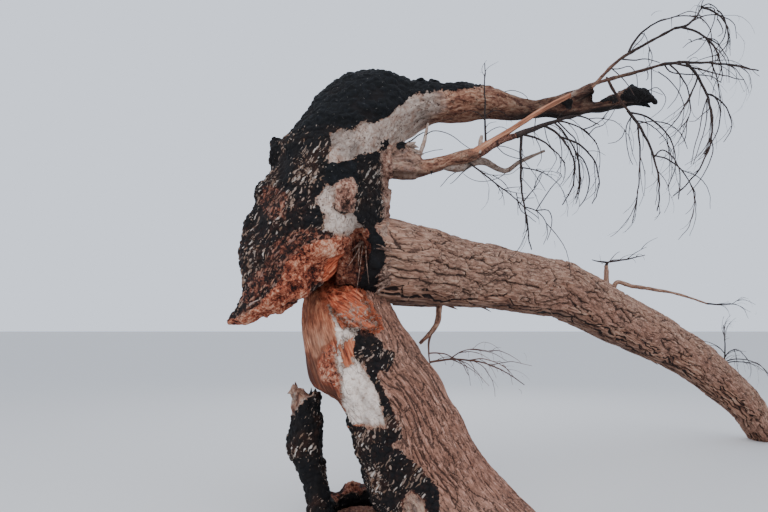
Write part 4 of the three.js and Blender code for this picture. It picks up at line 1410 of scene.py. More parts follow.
# %% Where each kind of wood shows on the fallen trunk
def log_kinds(points, facing):
    """The fallen trunk: bark, shed below, and torn and rotten at the end in the head."""
    under = facing[:, 2] + 0.3 * noise(points / 0.35, 95, 3)
    lower = smooth(0.15, -0.2, facing[:, 2]) * smooth(0.4, 1.6, points[:, 0])
    patches = smooth(0.22, 0.34, noise(points / np.array([0.4, 0.4, 0.2]), 97, 3)) * lower
    flaky = np.maximum(smooth(-0.60, -0.78, under), patches)
    void = zone(points, "gap")
    torn = 0.6 * smooth(-0.64, -0.72, points[:, 0] + 0.07 * noise(points / 0.08, 96, 2))
    inner = smooth(-0.68, -0.78, points[:, 0] + 0.05 * noise(points / 0.06, 89, 2))
    rusty = smooth(0.3, 1.4, points[:, 0]) * smooth(0.4, -0.5, facing[:, 2])
    return {
        "flaky": flaky,
        "rot": np.max([void, torn, inner], axis=0),
        "warm": np.maximum(0.9 * np.maximum(void, inner), 0.6 * rusty * (1 - flaky)),
        "char": zone(points, "band"),
        # dim: painted shade, with soot, in the gap and in the trunk's hollow inner end, and painted shade on
        # flaking wood that faces straight down.
        "dim": np.clip(
            0.62 * np.maximum(void, 0.7 * inner) + 0.4 * flaky * smooth(-0.75, -0.95, facing[:, 2]), 0, 1
        ),
    }


def parted(mesh, names, at, way):
    """The two closed halves of a mesh on either side of a plane."""
    halves = []
    for name, turn in zip(names, (1, -1)):
        bm = bmesh.new()
        bm.from_mesh(mesh)
        everything = bm.verts[:] + bm.edges[:] + bm.faces[:]
        normal = Vector(way) * turn
        bmesh.ops.bisect_plane(bm, geom=everything, plane_co=at, plane_no=normal, clear_outer=True)
        cut = [e for e in bm.edges if e.is_boundary]
        lid = bmesh.ops.holes_fill(bm, edges=cut)["faces"]
        bmesh.ops.triangulate(bm, faces=lid)
        half = bpy.data.meshes.new(name)
        bm.to_mesh(half)
        bm.free()
        half.shade_smooth()
        halves.append(half)
    return halves


# %% Making the fallen trunk
SPARE = 8000  # triangles kept back for the lids of the two halves
log_body = pressed(limb(LOG_ROWS, 0.6, 0.05, 60), SPLIT, 1)
log_mesh = fused("log_wood", [log_body], SKIN * 1.1)
carve(log_mesh, log_spine.grain, log_kinds, plating=(22, 0.36, 0.022, 0.0052), lumps=(0.35, 0.018))
log_mesh = slimmed(log_mesh, 2 * LIMIT - SPARE)
JOINT = Vector(LOG_UPPER_ROWS[0][:3])
JOINT_WAY = Vector(LOG_UPPER_ROWS[1][:3]) - Vector(LOG_LOWER_ROWS[-2][:3])
lower_half, upper_half = parted(log_mesh, ("log_lower_wood", "log_upper_wood"), JOINT, JOINT_WAY)
placed(lower_half, "bark", WOOD, "log_lower")
placed(upper_half, "bark", WOOD, "log_upper")

# %% [markdown]
# ## The thin boughs
#
# Past its thick root each bough is bare, reddish wood, and then branches into smooth poles and
# dark leaders as thick as a thumb. They are limbs like the others, with less relief.

# %% A thin limb from its rows and shares
def rooted(rows, back):
    """The rows with one more before the first, so that a limb starts inside what carries it."""
    first, second = np.array(rows[0][:3]), np.array(rows[1][:3])
    way = (first - second) / np.linalg.norm(first - second)
    return [[*(first + back * way), 0.6 * rows[0][3]]] + rows


def limb_piece(name, rows, share, slot, node, back=0.03, lumps=(0.05, 0.003), sides=20):
    """A thin limb. A share is a number for all of it, or a function of its points."""

    def spread(value, points):
        return value(points) if callable(value) else np.full(len(points), float(value))

    rows = rooted(rows, back)
    mesh = as_mesh(name, [limb(rows, len(rows) * 0.37, 0.08, sides, 0.01, rough=0.06, rough_size=0.05)])
    points, facing = read(mesh)
    grain = Spine(rows).grain(points)
    values = {kind: np.zeros(len(points)) for kind in KINDS + ("warm", "dim")}
    values.update({kind: spread(value, points) for kind, value in share.items()})
    relief = lumps[1] * noise(points / lumps[0], 81, 2)
    crack = np.full(len(points), NO_CRACK)
    write(mesh, points + facing * relief[:, None], grain=grain, crack=crack, relief=relief, **values)
    return placed(mesh, slot, WOOD, node)


def outward(points):
    """0 where the pole is peeled and tan, 1 further out, where it is darker bare wood."""
    return smooth(0.72, 0.92, points[:, 0] + 0.1 * noise(points / 0.08, 17, 2))


# %% Making the thin boughs
POLE_SHARE = {
    "heart": lambda points: 1 - outward(points),
    "bare": outward,
    "warm": lambda points: -0.45 + 1.25 * outward(points),
    "dim": lambda points: 0.15 + 0.43 * outward(points) + 0.25 * smooth(1.0, 1.4, points[:, 0]),
}
LEADER_SHARE = {"bare": 1, "warm": 0.8, "dim": lambda points: 0.4 + 0.52 * smooth(1.0, 1.35, points[:, 0])}
SECOND_POLE_SHARE = {"rot": 1, "warm": 0.5, "dim": 0.45}
FORK_SHARE = {"bare": 1, "warm": 0.3, "dim": 0.42}
STRUT_SHARE = {"bare": 1, "warm": 0.2}
DARK_SHARE = {"bare": 1, "warm": 0.8, "dim": 0.85}
PRONG_SHARE = {"bare": 1, "warm": 0.8, "dim": 0.15}
BARK_SHARE = {"dim": 0.15}
FORK_HEEL = [-0.22, -0.13, 2.905, 0.022]  # the fork's foot, further back along the bough
limb_piece("pole_wood", POLE_ROWS, POLE_SHARE, "peeled_wood", "pole", back=0.10)
limb_piece("second_pole_wood", SECOND_POLE_ROWS, SECOND_POLE_SHARE, "rotten_wood", "second_pole", back=0.10)
limb_piece("grey_fork_wood", [FORK_HEEL, *GREY_FORK_ROWS], FORK_SHARE, "weathered_wood", "grey_fork")
limb_piece("strut_wood", STRUT_ROWS, STRUT_SHARE, "weathered_wood", "strut", back=0.05)
limb_piece("spur_wood", SPUR_ROWS, STRUT_SHARE, "weathered_wood", "spur")
limb_piece("up_leader_wood", UP_LEADER_ROWS, LEADER_SHARE, "dark_bark", "up_leader")
limb_piece("down_leader_wood", DOWN_LEADER_ROWS, DARK_SHARE, "dark_bark", "down_leader")
limb_piece("prong_wood", PRONG_ROWS, PRONG_SHARE, "peeled_wood", "prong", back=0.06)
limb_piece("log_spur_wood", LOG_SPUR_ROWS, BARK_SHARE, "dark_bark", "log_spur", back=0.06)
limb_piece("log_side_wood", LOG_SIDE_ROWS, BARK_SHARE, "dark_bark", "log_side_bough", back=0.05)

# %% [markdown]
# ## The bare twigs
#
# Twigs bend evenly from the angle they start at to the angle they end at, because they grew up
# and then drooped. A twig is told by those two angles, its length, its heading and its radius.
# The crowns below are the same as the solids', and each twig then bears finer ones by a seeded
# rule. They are joined meshes from arrays, since there are too many for one object each.

# %% One twig
def twig(at, rise0, rise1, length, yaw, radius, children=()):
    """A twig: its place on its parent, its angles above level, its length, heading and radius."""
    return {
        "at": at,
        "rise": (rise0, rise1),
        "length": length,
        "yaw": yaw,
        "radius": radius,
        "children": children,
    }


# %% The crowns on the boughs: where each twig starts, how it turns, and what it bears
BOUGH_CROWNS = {
    "twigs_top": {
        "root": (1.7, -0.35, 4),
        "stem": twig(0, 8, 70, 0.34, 4, 0.009, [
            twig(0.97, 52, -120, 0.24, 10, 0.004),
            twig(0.94, -5, -150, 0.56, 0, 0.006, [twig(0.5, -60, -125, 0.26, 30, 0.003)]),
            twig(0.18, -12, -106, 0.62, -4, 0.007, [
                twig(0.34, -2, -104, 0.42, 16, 0.004),
                twig(0.34, -165, -140, 0.24, 10, 0.004),
                twig(0.5, 0, -112, 0.38, 30, 0.003),
            ]),
            twig(0.5, 30, -100, 0.46, -24, 0.004),
        ]),
        "fine": {"count": 5, "length": (0.22, 0.42), "droop": 95, "seed": 11},
    },
    "twigs_arch": {
        "root": (1.29, -0.383, 3.757),
        "stem": twig(0, 70, -18, 0.74, -4, 0.007, [
            twig(0.28, 36, -60, 0.3, 50, 0.003),
            twig(0.86, -10, -112, 0.33, -10, 0.004),
        ]),
        "fine": {"count": 3, "length": (0.16, 0.3), "droop": 80, "seed": 23},
    },
    "twigs_out": {
        "root": (1.56, -0.43, 3.655),
        "stem": twig(0, 8, -14, 0.77, 3, 0.01, [
            twig(0.1, -24, -20, 0.52, -14, 0.006),
            twig(0.05, -30, -128, 0.6, 12, 0.005),
            twig(0.23, -50, -148, 1.24, 0, 0.008, [
                twig(0.24, -4, -140, 0.52, 10, 0.005),
                twig(0.3, -84, -118, 0.45, 12, 0.004),
                twig(0.33, -80, -126, 0.44, -20, 0.004),
                twig(0.12, -112, -138, 0.64, 8, 0.005),
            ]),
            twig(0.5, -40, -100, 0.42, 40, 0.004),
            twig(0.7, -10, -60, 0.24, -30, 0.003),
        ]),
        "fine": {"count": 7, "length": (0.24, 0.52), "droop": 85, "seed": 37},
    },
    "twigs_hang": {
        "root": (1.24, -0.435, 3.265),
        "stem": twig(0, -52, -101, 0.85, 0, 0.009, [
            twig(0.03, -2, -128, 0.8, 4, 0.006),
            twig(0.15, -86, -106, 0.8, -4, 0.006),
            twig(0.48, -6, -116, 0.66, 4, 0.005),
            twig(0.12, 8, -74, 0.52, 24, 0.004),
            twig(0.06, -104, -70, 0.42, -30, 0.003),
        ]),
        "fine": {"count": 7, "length": (0.22, 0.48), "droop": 80, "seed": 41},
    },
    "twigs_mid": {
        "root": (0.4, -0.248, 3.125),
        "stem": twig(0, 22, 16, 0.47, -6, 0.02, [
            twig(0.1, -14, -62, 0.44, -10, 0.008),
            twig(0.12, -96, -78, 0.96, -4, 0.009, [
                twig(0.3, -2, -28, 0.27, 8, 0.005),
                twig(0.64, -8, -122, 0.4, -16, 0.004),
                twig(0.6, 50, 62, 0.28, -10, 0.004),
            ]),
            twig(0.5, -26, -132, 0.78, -2, 0.008, [twig(0.22, -12, -124, 0.7, -4, 0.007)]),
            twig(0.68, -38, -114, 0.75, 10, 0.006),
            twig(0.72, -6, -62, 0.39, -12, 0.006, [twig(0.6, 14, 48, 0.21, -10, 0.004)]),
            twig(0.96, 10, -40, 0.26, 8, 0.007),
        ]),
        "fine": {"count": 12, "length": (0.22, 0.52), "droop": 90, "seed": 53},
    },
    "twigs_low": {
        "root": (0.02, -0.165, 2.925),
        "stem": twig(0, -40, -43, 0.73, -6, 0.006, [
            twig(0.06, -50, 46, 0.47, -10, 0.003),
            twig(0.05, -134, -141, 0.25, 8, 0.004),
            twig(0.5, -12, 6, 0.23, 24, 0.003),
        ]),
        "fine": {"count": 3, "length": (0.15, 0.28), "droop": 60, "seed": 61},
    },
    "twigs_upright": {
        "root": (0.16, -0.203, 3.052),
        "stem": twig(0, 91, 88, 0.72, 0, 0.007, [
            twig(0.36, 50, -60, 0.3, 20, 0.003),
            twig(0.3, 70, -30, 0.3, 150, 0.003),
        ]),
        "fine": {"count": 0, "length": (0.1, 0.2), "droop": 60, "seed": 67},
    },
}

# %% The crowns under and on the fallen trunk
TRUNK_CROWNS = {
    "twigs_prong": {
        "root": (-0.25, 0.42, 1.54),
        "stem": twig(0, -114, -74, 0.29, 0, 0.009, [
            twig(0.95, 14, -40, 0.88, -3, 0.007, [
                twig(0.2, 40, -20, 0.42, -24, 0.004),
                twig(0.4, 12, -50, 0.48, 16, 0.004),
                twig(0.62, 20, -20, 0.36, -12, 0.003),
            ]),
            twig(0.7, 10, -60, 0.5, 24, 0.005),
        ]),
        "fine": {"count": 7, "length": (0.2, 0.48), "droop": 50, "seed": 71},
    },
    "twigs_spur": {
        "root": (1.995, 2.08, 2.32),
        "stem": twig(0, 70, 20, 0.07, 0, 0.014, [
            twig(0.9, 8, 14, 0.44, 2, 0.009, [twig(0.5, 40, 20, 0.26, -30, 0.004)]),
            twig(0.6, 172, 168, 0.19, 0, 0.01),
            twig(0.9, 50, 20, 0.24, 30, 0.004),
        ]),
        "fine": {"count": 2, "length": (0.12, 0.24), "droop": 40, "seed": 83},
    },
    "twigs_side": {
        "root": (3.14, 2.02, 1.86),
        "stem": twig(0, -8, 6, 0.33, -2, 0.008, [
            twig(0.3, 12, -18, 0.33, 8, 0.004),
            twig(0.85, 38, 20, 0.17, -10, 0.003),
        ]),
        "fine": {"count": 3, "length": (0.16, 0.3), "droop": 50, "seed": 89},
    },
    "twigs_end": {
        "root": (4.03, 3.3, 1.06),
        "stem": twig(0, 74, 98, 0.56, 10, 0.009, [
            twig(0.2, 50, -60, 0.56, 24, 0.006, [twig(0.4, 0, -70, 0.32, 50, 0.004)]),
            twig(0.1, 30, -70, 0.64, -24, 0.006, [twig(0.5, -10, -90, 0.34, -50, 0.004)]),
            twig(0.3, 60, -20, 0.48, 130, 0.005),
            twig(0.06, 20, -40, 0.56, -4, 0.006),
        ]),
        "fine": {"count": 8, "length": (0.22, 0.46), "droop": 70, "seed": 97},
    },
}
CROWNS = BOUGH_CROWNS | TRUNK_CROWNS
print("crowns:", len(CROWNS))

# %% Growing the twigs
TWIG_STEP = 0.11  # length of one straight piece of a solid twig
TWIG_TIP = 0.42  # tip radius over root radius
FINE_RADIUS = 0.003  # of a solid's seeded twigs, at the root


def stream(seed):
    """A repeatable stream of numbers from 0 to 1."""
    state = seed * 7919
    while True:
        state = (state * 16807 + 11) % 2147483647
        yield state / 2147483647


def twig_rows(root, spec):
    """The path of a twig as limb rows, turning evenly from its first angle to its last."""
    pieces = max(3, math.floor(spec["length"] / TWIG_STEP + 0.5))
    step = spec["length"] / pieces
    turn = (np.arange(pieces) + 0.5) / pieces
    rise = np.radians(spec["rise"][0] + (spec["rise"][1] - spec["rise"][0]) * turn)
    yaw = math.radians(spec["yaw"])
    flat = np.cos(rise)
    steps = step * np.stack([flat * math.cos(yaw), flat * math.sin(yaw), np.sin(rise)], axis=1)
    points = np.vstack([root, root + np.cumsum(steps, axis=0)])
    slim = 1 - (1 - TWIG_TIP) * np.arange(pieces + 1) / pieces
    return np.column_stack([points, spec["radius"] * slim])


def grown(root, spec):
    """A twig and all that it bears, as pairs of rows and spec."""
    rows = twig_rows(np.asarray(root, float), spec)
    found = [(rows, spec)]
    for child in spec["children"]:
        found += grown(along(rows, child["at"])[:3], child)
    return found


def crown_twigs(crown):
    """The twigs of a crown's solid: those told one by one, and then the seeded ones."""
    found = grown(crown["root"], crown["stem"])
    parents = list(found)
    fine = crown["fine"]
    numbers = stream(fine["seed"])
    for _ in range(fine["count"]):
        rows, parent = parents[math.floor(next(numbers) * len(parents))]
        at = 0.2 + 0.7 * next(numbers)
        rise = parent["rise"][0] + (parent["rise"][1] - parent["rise"][0]) * at
        rise0 = rise + 50 * (next(numbers) - 0.35)
        rise1 = max(rise0 - fine["droop"] * (0.5 + next(numbers)), -150)
        length = fine["length"][0] + (fine["length"][1] - fine["length"][0]) * next(numbers)
        yaw = parent["yaw"] + 130 * (next(numbers) - 0.5)
        spec = twig(at, rise0, rise1, length, yaw, FINE_RADIUS)
        found.append((twig_rows(along(rows, at)[:3], spec), spec))
    return found


# %% Growing finer twigs on them
FINER_RADIUS = 0.0036  # at the root, at most


def finer_twigs(found, seed, spacing, low, high):
    """Thin twigs by a seeded rule, one per spacing along the given twigs, from low to high long."""
    numbers = stream(seed)
    finer = []
    for rows, parent in found:
        for k in range(int(parent["length"] / spacing)):
            at = (k + 0.3 + 0.6 * next(numbers)) * spacing / parent["length"]
            rise = parent["rise"][0] + (parent["rise"][1] - parent["rise"][0]) * at
            rise0 = rise + 70 * (next(numbers) - 0.3)
            rise1 = max(rise0 - 30 - 100 * next(numbers), -160)
            length = low + (high - low) * next(numbers) ** 2
            yaw = parent["yaw"] + 150 * (next(numbers) - 0.5)
            radius = min(FINER_RADIUS, 0.75 * along(rows, at)[3])
            spec = twig(at, rise0, rise1, length, yaw, radius)
            finer.append((twig_rows(along(rows, at)[:3], spec), spec))
    return finer


# %% Twigs as meshes
def tube(rows, sides, step, bend, seed):
    """The points and faces of one twig, closed at both ends.

    It has a ring of points at each step of its length, and small bends as far aside as bend.
    """
    length = np.linalg.norm(np.diff(rows[:, :3], axis=0), axis=1).sum()
    count = max(int(length / step), 3)
    path = along(rows, np.linspace(0, 1, count + 1))
    sway = noise(np.column_stack([path[:, :3] / 0.09]), seed)[:, None] * bend
    lift = noise(np.column_stack([path[:, :3] / 0.06]), seed + 4)[:, None] * bend
    ahead = np.gradient(path[:, :3], axis=0)
    ahead /= np.linalg.norm(ahead, axis=1)[:, None]
    side = np.cross(ahead, FRONT)
    across = np.linalg.norm(side, axis=1)[:, None]  # near 0 where the twig runs along FRONT
    side /= across
    turned = np.where(np.sum(side[1:] * side[:-1], axis=1) < 0, -1, 1)
    side[1:] *= np.cumprod(turned)[:, None]
    deep = np.cross(side, ahead)
    fade = np.linspace(0, 1, count + 1)[:, None] ** 0.5
    centre = path[:, :3] + fade * across * (sway * side + lift * deep)
    angle = np.arange(sides) * math.tau / sides
    ring = side[:, None] * np.cos(angle)[None, :, None] + deep[:, None] * np.sin(angle)[None, :, None]
    points = (centre[:, None] + ring * path[:, 3][:, None, None]).reshape(-1, 3)
    points = np.vstack([points, centre[0], centre[-1] + ahead[-1] * path[-1, 3] * 2])
    faces = []
    for i in range(count):
        for j in range(sides):
            k = (j + 1) % sides
            here, there = i * sides, (i + 1) * sides
            faces.append((here + j, here + k, there + k, there + j))
    last = count * sides
    for j in range(sides):
        k = (j + 1) % sides
        faces.append((j, len(points) - 2, k))
        faces.append((last + j, last + k, len(points) - 1))
    return points, faces


def joined(name, parts):
    """One mesh of many sets of points and faces."""
    points, faces, first = [], [], 0
    for part, its in parts:
        points.append(part)
        faces += [[first + corner for corner in face] for face in its]
        first += len(part)
    mesh = bpy.data.meshes.new(name)
    mesh.from_pydata(np.vstack(points), [], faces)
    mesh.shade_smooth()
    return mesh


# %% [markdown]
# ## The twigs' finish
#
# Thin bark, nearly black from a step away, with a little brown and grey from twig to twig. The
# colour varies with the place, so one material serves every crown but the brown one on the prong.

# %% Painting the twigs
def twig_paint(name, *stops):
    paint = Paint(name, 0.8)
    broad = paint.noise(paint.object, 3.0, 3.0)
    fine = paint.noise(paint.object, 90.0, 3.0)
    color = paint.blend(paint.step(fine, 0.45, 0.7, 0.0, 0.4), paint.ramp(broad, *stops), tone("#5e4c44"))
    return paint.finish(color, fine, 0.001)


TWIGS = twig_paint("twig_bark", (0.3, "#171213"), (0.5, "#221917"), (0.7, "#3a2b26"))
BROWN_TWIGS = twig_paint("brown_twig_bark", (0.3, "#3c2720"), (0.5, "#5c3f34"), (0.7, "#7a5a4c"))
print("nodes in the twigs' finish:", len(TWIGS.node_tree.nodes))

# %% Which fine twigs are kept, and how thick the stout ones are
ROOM = 0.03  # how far a fine twig may pass its solid's box
OFF_GROUND = 0.02  # how high a fine twig stays, and a stout one half as high
STOUT_ROOT = 1.45  # bark makes a twig thicker than its solid rod
STOUT_TIP = 1.3


def limb_skins():
    """The solids of the limbs as one tree of faces, to find twigs that would cross them."""
    points, faces = [], []
    for name, node in frame["nodes"].items():
        if name.startswith("twigs"):
            continue
        first = len(points)
        points += [v.co.copy() for v in node.data.vertices]
        faces += [[first + i for i in face.vertices] for face in node.data.polygons]
    print("faces that no fine twig may cross:", len(faces))
    return BVHTree.FromPolygons(points, faces)


SKINS = limb_skins()


def crosses(rows):
    """Whether a twig's path, past its first stretch, passes through a limb."""
    for a, b in zip(rows[1:-1, :3], rows[2:, :3]):
        way = Vector(b - a)
        if SKINS.ray_cast(Vector(a), way.normalized(), way.length)[0] is not None:
            return True
    return False


def stouter(rows):
    """The rows with the radius made thicker, and more so toward the root."""
    return rows * np.column_stack([np.ones((len(rows), 3)), np.linspace(STOUT_ROOT, STOUT_TIP, len(rows))])


# %% Placing the crowns
FINER = {"spacing": 0.14, "low": 0.10, "high": 0.50}
FINEST = {"spacing": 0.24, "low": 0.04, "high": 0.18}
STOUT_TUBE = {"sides": 6, "step": 0.022, "bend": 0.009, "seed": 3}
FINE_TUBE = {"sides": 4, "step": 0.025, "bend": 0.006, "seed": 5}
for number, (name, crown) in enumerate(CROWNS.items()):
    low, high = (np.array(corner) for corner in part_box(name))
    stout = crown_twigs(crown)
    finer = finer_twigs(stout, 7 + number, **FINER)
    finest = finer_twigs(finer, 57 + number, **FINEST)
    kept = []
    for rows, _ in finer + finest:
        inside = (rows[:, :3] > low - ROOM).all() and (rows[:, :3] < high + ROOM).all()
        if inside and rows[:, 2].min() > OFF_GROUND and not crosses(rows):
            kept.append(rows)
    high_enough = [rows for rows, _ in stout if rows[:, 2].min() > OFF_GROUND / 2]
    tubes = [tube(stouter(rows), **STOUT_TUBE) for rows in high_enough]
    tubes += [tube(rows, **FINE_TUBE) for rows in kept]
    placed(joined(name + "_fine", tubes), "twigs", BROWN_TWIGS if name == "twigs_prong" else TWIGS, name)

# %% [markdown]
# ## Twigs that follow the picture
#
# Some single twigs stand out against the sky: loops, arcs, and long ones that hang. Each is drawn
# as places on an enlarged part of the picture, and put at the depth of the wood it grows from.

# %% The single twigs by the boughs and at the tips: radius in mm, and places
BOUGH_PART = (385, 70, 7.29)  # corner and scale of an enlarged part of the picture
TIP_PART = (560, 0, 7.54)
BOUGH_TWIGS = [
    (5, [(160, 552), (200, 510), (240, 478), (285, 455)]),
    (3, [(270, 458), (340, 447), (400, 447), (460, 465), (520, 500), (570, 540), (650, 590)]),
    (2.5, [(225, 630), (280, 608), (350, 588), (420, 577)]),
    (2.5, [(865, 165), (900, 150), (950, 152), (1000, 170), (1035, 195), (1045, 215)]),
    (2.5, [(735, 470), (770, 440), (820, 416), (860, 418), (900, 440)]),
    (2.5, [(905, 715), (880, 750), (830, 785), (760, 808), (690, 812), (620, 790), (570, 755)]),
    (2.5, [(800, 560), (860, 555), (930, 575), (1000, 615), (1020, 640)]),
    (2.5, [(815, 580), (870, 610), (950, 640), (1010, 660), (1060, 720), (1120, 800), (1170, 880)]),
    (3, [(620, 715), (560, 725), (500, 755), (450, 795), (405, 850)]),
    (2.5, [(850, 880), (900, 858), (980, 850)]),
    (2.5, [(940, 942), (1010, 935), (1085, 930)]),
    (3, [(940, 950), (990, 1020), (1040, 1060), (1100, 1105)]),
    (3, [(1130, 980), (1180, 900), (1240, 825), (1285, 770), (1255, 745)]),
    (3, [(1130, 985), (1185, 1020), (1215, 1080), (1210, 1150), (1185, 1240)]),
    (4, [(1270, 385), (1330, 450), (1390, 510), (1405, 600), (1415, 760), (1410, 860), (1385, 940)]),
    (4, [(1405, 590), (1450, 660), (1490, 780), (1480, 880), (1450, 950), (1415, 995)]),
    (3, [(1190, 400), (1260, 470), (1285, 560), (1285, 680), (1255, 745)]),
    (2.5, [(1100, 370), (1090, 470), (1130, 560), (1140, 640), (1110, 700)]),
    (2.5, [(1160, 400), (1180, 500), (1230, 600), (1250, 660), (1180, 760)]),
]
TIP_TWIGS = [
    (3, [(515, 430), (560, 350), (620, 290), (640, 248)]),
    (4, [(505, 445), (560, 455), (620, 446), (680, 452), (750, 470)]),
    (3, [(375, 550), (440, 520), (515, 500), (550, 520), (580, 570), (587, 650)]),
    (3, [(400, 540), (470, 590), (530, 665), (560, 720)]),
    (2.5, [(425, 695), (520, 672), (600, 668), (700, 688), (775, 715)]),
    (3, [(665, 535), (665, 580), (650, 605)]),
    (3, [(700, 530), (690, 640), (692, 735)]),
    (2.5, [(665, 625), (730, 660), (785, 710), (797, 765), (760, 830), (690, 885)]),
    (4, [(760, 500), (830, 540), (930, 560), (1050, 565), (1150, 580), (1215, 620)]),
    (3, [(740, 540), (820, 600), (900, 700), (935, 800), (925, 900), (905, 985)]),
    (2.5, [(935, 560), (905, 660), (870, 750), (810, 820)]),
    (3, [(1080, 62), (1160, 65), (1165, 140), (1130, 240), (1060, 360), (960, 440)]),
    (3, [(1165, 145), (1215, 190), (1230, 245), (1190, 275)]),
    (4, [(1165, 65), (1215, 100), (1248, 170), (1245, 260), (1210, 330), (1160, 390)]),
    (4, [(1108, 290), (1130, 350), (1150, 420), (1155, 500), (1142, 600)]),
    (3, [(1110, 290), (1170, 300), (1205, 360), (1190, 430)]),
    (3, [(1150, 392), (1195, 430), (1215, 500), (1200, 570), (1165, 640), (1155, 700)]),
    (2.5, [(1150, 395), (1090, 440), (1020, 465)]),
    (4, [(1105, 720), (1150, 718), (1190, 770), (1207, 850), (1190, 980), (1130, 1090), (1090, 1160)]),
    (3, [(1170, 1040), (1150, 1150), (1100, 1280), (1040, 1380), (960, 1470)]),
    (3, [(1080, 740), (1075, 850), (1050, 980), (1015, 1110), (990, 1240)]),
    (3, [(1105, 760), (1105, 900), (1070, 1040), (1005, 1240)]),
    (2.5, [(1060, 830), (1055, 880), (1020, 910), (975, 915)]),
    (3, [(520, 890), (500, 960), (500, 1060), (520, 1170), (548, 1240)]),
    (3, [(610, 925), (700, 915), (800, 932), (880, 975), (930, 1050), (960, 1120)]),
    (4, [(706, 1160), (755, 1136), (800, 1140), (860, 1195), (900, 1280), (905, 1400), (895, 1500)]),
    (2.5, [(500, 975), (470, 1030), (420, 1070), (365, 1080)]),
    (3, [(200, 1000), (260, 965), (320, 945), (375, 890), (412, 820)]),
    (3, [(130, 970), (200, 1000), (240, 1040), (270, 1082)]),
]

# %% Making the single twigs
TILT = math.radians(7.4)  # of the camera, upward
FOCAL = 570.0  # in pixels
MIDDLE = (384, 256)  # of the picture, in pixels
SINGLE_TUBE = {"sides": 5, "step": 0.03, "bend": 0.004, "seed": 9}


def picture_places(points):
    """Where points show in the picture, across and down in pixels."""
    away = points - EYE
    ahead = away[:, 1] * math.cos(TILT) + away[:, 2] * math.sin(TILT)
    above = away[:, 2] * math.cos(TILT) - away[:, 1] * math.sin(TILT)
    return np.column_stack([MIDDLE[0] + FOCAL * away[:, 0] / ahead, MIDDLE[1] - FOCAL * above / ahead])


def at_depth(across, down, y):
    """The place at depth y that shows at a place in the picture."""
    up = (MIDDLE[1] - down) / FOCAL
    ahead = math.cos(TILT) - up * math.sin(TILT)
    reach = (y - EYE[1]) / ahead
    aside = (across - MIDDLE[0]) / FOCAL
    return EYE + reach * np.array([aside, ahead, math.sin(TILT) + up * math.cos(TILT)])


thin_wood = np.vstack([
    [vert.co for vert in node.data.vertices]
    for name, node in frame["nodes"].items()
    if name not in ("stump", "broken_head", "log_lower", "log_upper")
])
seen_wood = picture_places(thin_wood)
single_tubes = []
for (left, top, scale), twigs in ((BOUGH_PART, BOUGH_TWIGS), (TIP_PART, TIP_TWIGS)):
    for radius, places in twigs:
        shown = np.array([(left + a / scale, top + b / scale) for a, b in places])
        nearest = np.argmin(np.linalg.norm(seen_wood - shown[0], axis=1))
        path = np.array([at_depth(*place, thin_wood[nearest, 1]) for place in shown])
        path[0] = thin_wood[nearest]
        slim = np.linspace(1.6, 0.9, len(path)) * radius / 1000
        single_tubes.append(tube(np.column_stack([path, slim]), **SINGLE_TUBE))
placed(joined("single_twigs", single_tubes), "twigs", TWIGS)

# %% [markdown]
# ## Splinters
#
# Where the wood broke, thin splinters still stand: in the split, at the torn end of the lower
# bough, round the end of the fallen trunk, along the flap and on the burnt tips. Flakes of bark
# hang under the trunk. Each is a small limb with five sides that starts inside the wood and ends
# in a point. A hair system would be quicker to set up, but it leaves no mesh behind.

# %% Where the splinters stand
RED = {"rot": 1, "warm": 0.85}
DRY = {"rot": 1, "warm": 0.15}
PALE = {"bare": 1, "warm": 0.6}
BLACK = {"char": 1}
FLAKE = {"flaky": 1, "dim": 0.25}
GREYISH = {"bare": 1, "warm": 0.3, "dim": 0.2}
SPLINTERS = [  # first and last place, way and length, radius, how many, look
    ((-0.92, -0.17, 2.28), (-0.82, -0.17, 2.30), (-0.03, -0.13, -0.30), 0.007, 9, DRY),
    ((-1.84, -0.29, 1.66), (-1.30, -0.30, 1.88), (-0.04, -0.02, -0.03), 0.016, 22, RED),
    ((-1.84, -0.29, 1.66), (-1.80, -0.29, 1.68), (-0.03, 0.00, -0.03), 0.026, 4, RED),
    ((-0.47, -0.19, 3.07), (-0.45, -0.10, 2.93), (0.07, -0.01, 0.00), 0.018, 14, GREYISH),
    ((-0.62, -0.20, 2.36), (-0.64, -0.27, 2.15), (-0.07, -0.03, 0.03), 0.013, 12, DRY),
    ((-0.64, -0.27, 2.12), (-0.66, -0.20, 1.90), (-0.07, -0.02, -0.03), 0.013, 12, DRY),
    ((1.40, -0.05, 3.54), (1.45, -0.03, 3.56), (0.03, 0.00, 0.09), 0.050, 4, BLACK),
    ((1.50, -0.04, 3.53), (1.53, -0.03, 3.50), (0.10, 0.00, -0.02), 0.034, 5, BLACK),
    ((-1.43, 0.00, 1.05), (-1.36, 0.02, 1.05), (0.00, 0.00, 0.05), 0.028, 5, PALE),
    ((-1.29, 0.02, 1.02), (-1.22, 0.03, 1.01), (0.01, 0.00, 0.04), 0.026, 4, BLACK),
    ((-0.29, -0.13, 2.89), (-0.28, -0.13, 2.89), (0.01, -0.01, -0.07), 0.012, 1, BLACK),
]


def under_trunk(share, aside):
    """A place just inside the fallen trunk's underside, or nearer its front where aside is 1."""
    x, y, z, radius = along(LOG_ROWS, share)
    return (x + 0.5 * aside * radius, y - 0.75 * aside * radius, z - (0.95 - 0.4 * aside) * radius)


# twelve stretches of the fallen trunk, from 8% to 92% of its length
for part in range(12):
    first, last = 0.08 + 0.07 * part, 0.15 + 0.07 * part
    for aside in (0, 0.6):
        way = 0.25 * (np.array(under_trunk(last, aside)) - under_trunk(first, aside))
        SPLINTERS.append((under_trunk(first, aside), under_trunk(last, aside), way, 0.014, 4, FLAKE))
print("rows of splinters:", len(SPLINTERS))

# %% Making the splinters
OUTLINE = ((-0.3, 1.0), (0.3, 0.8), (0.7, 0.5), (1.0, 0.1))  # place along a splinter, and width


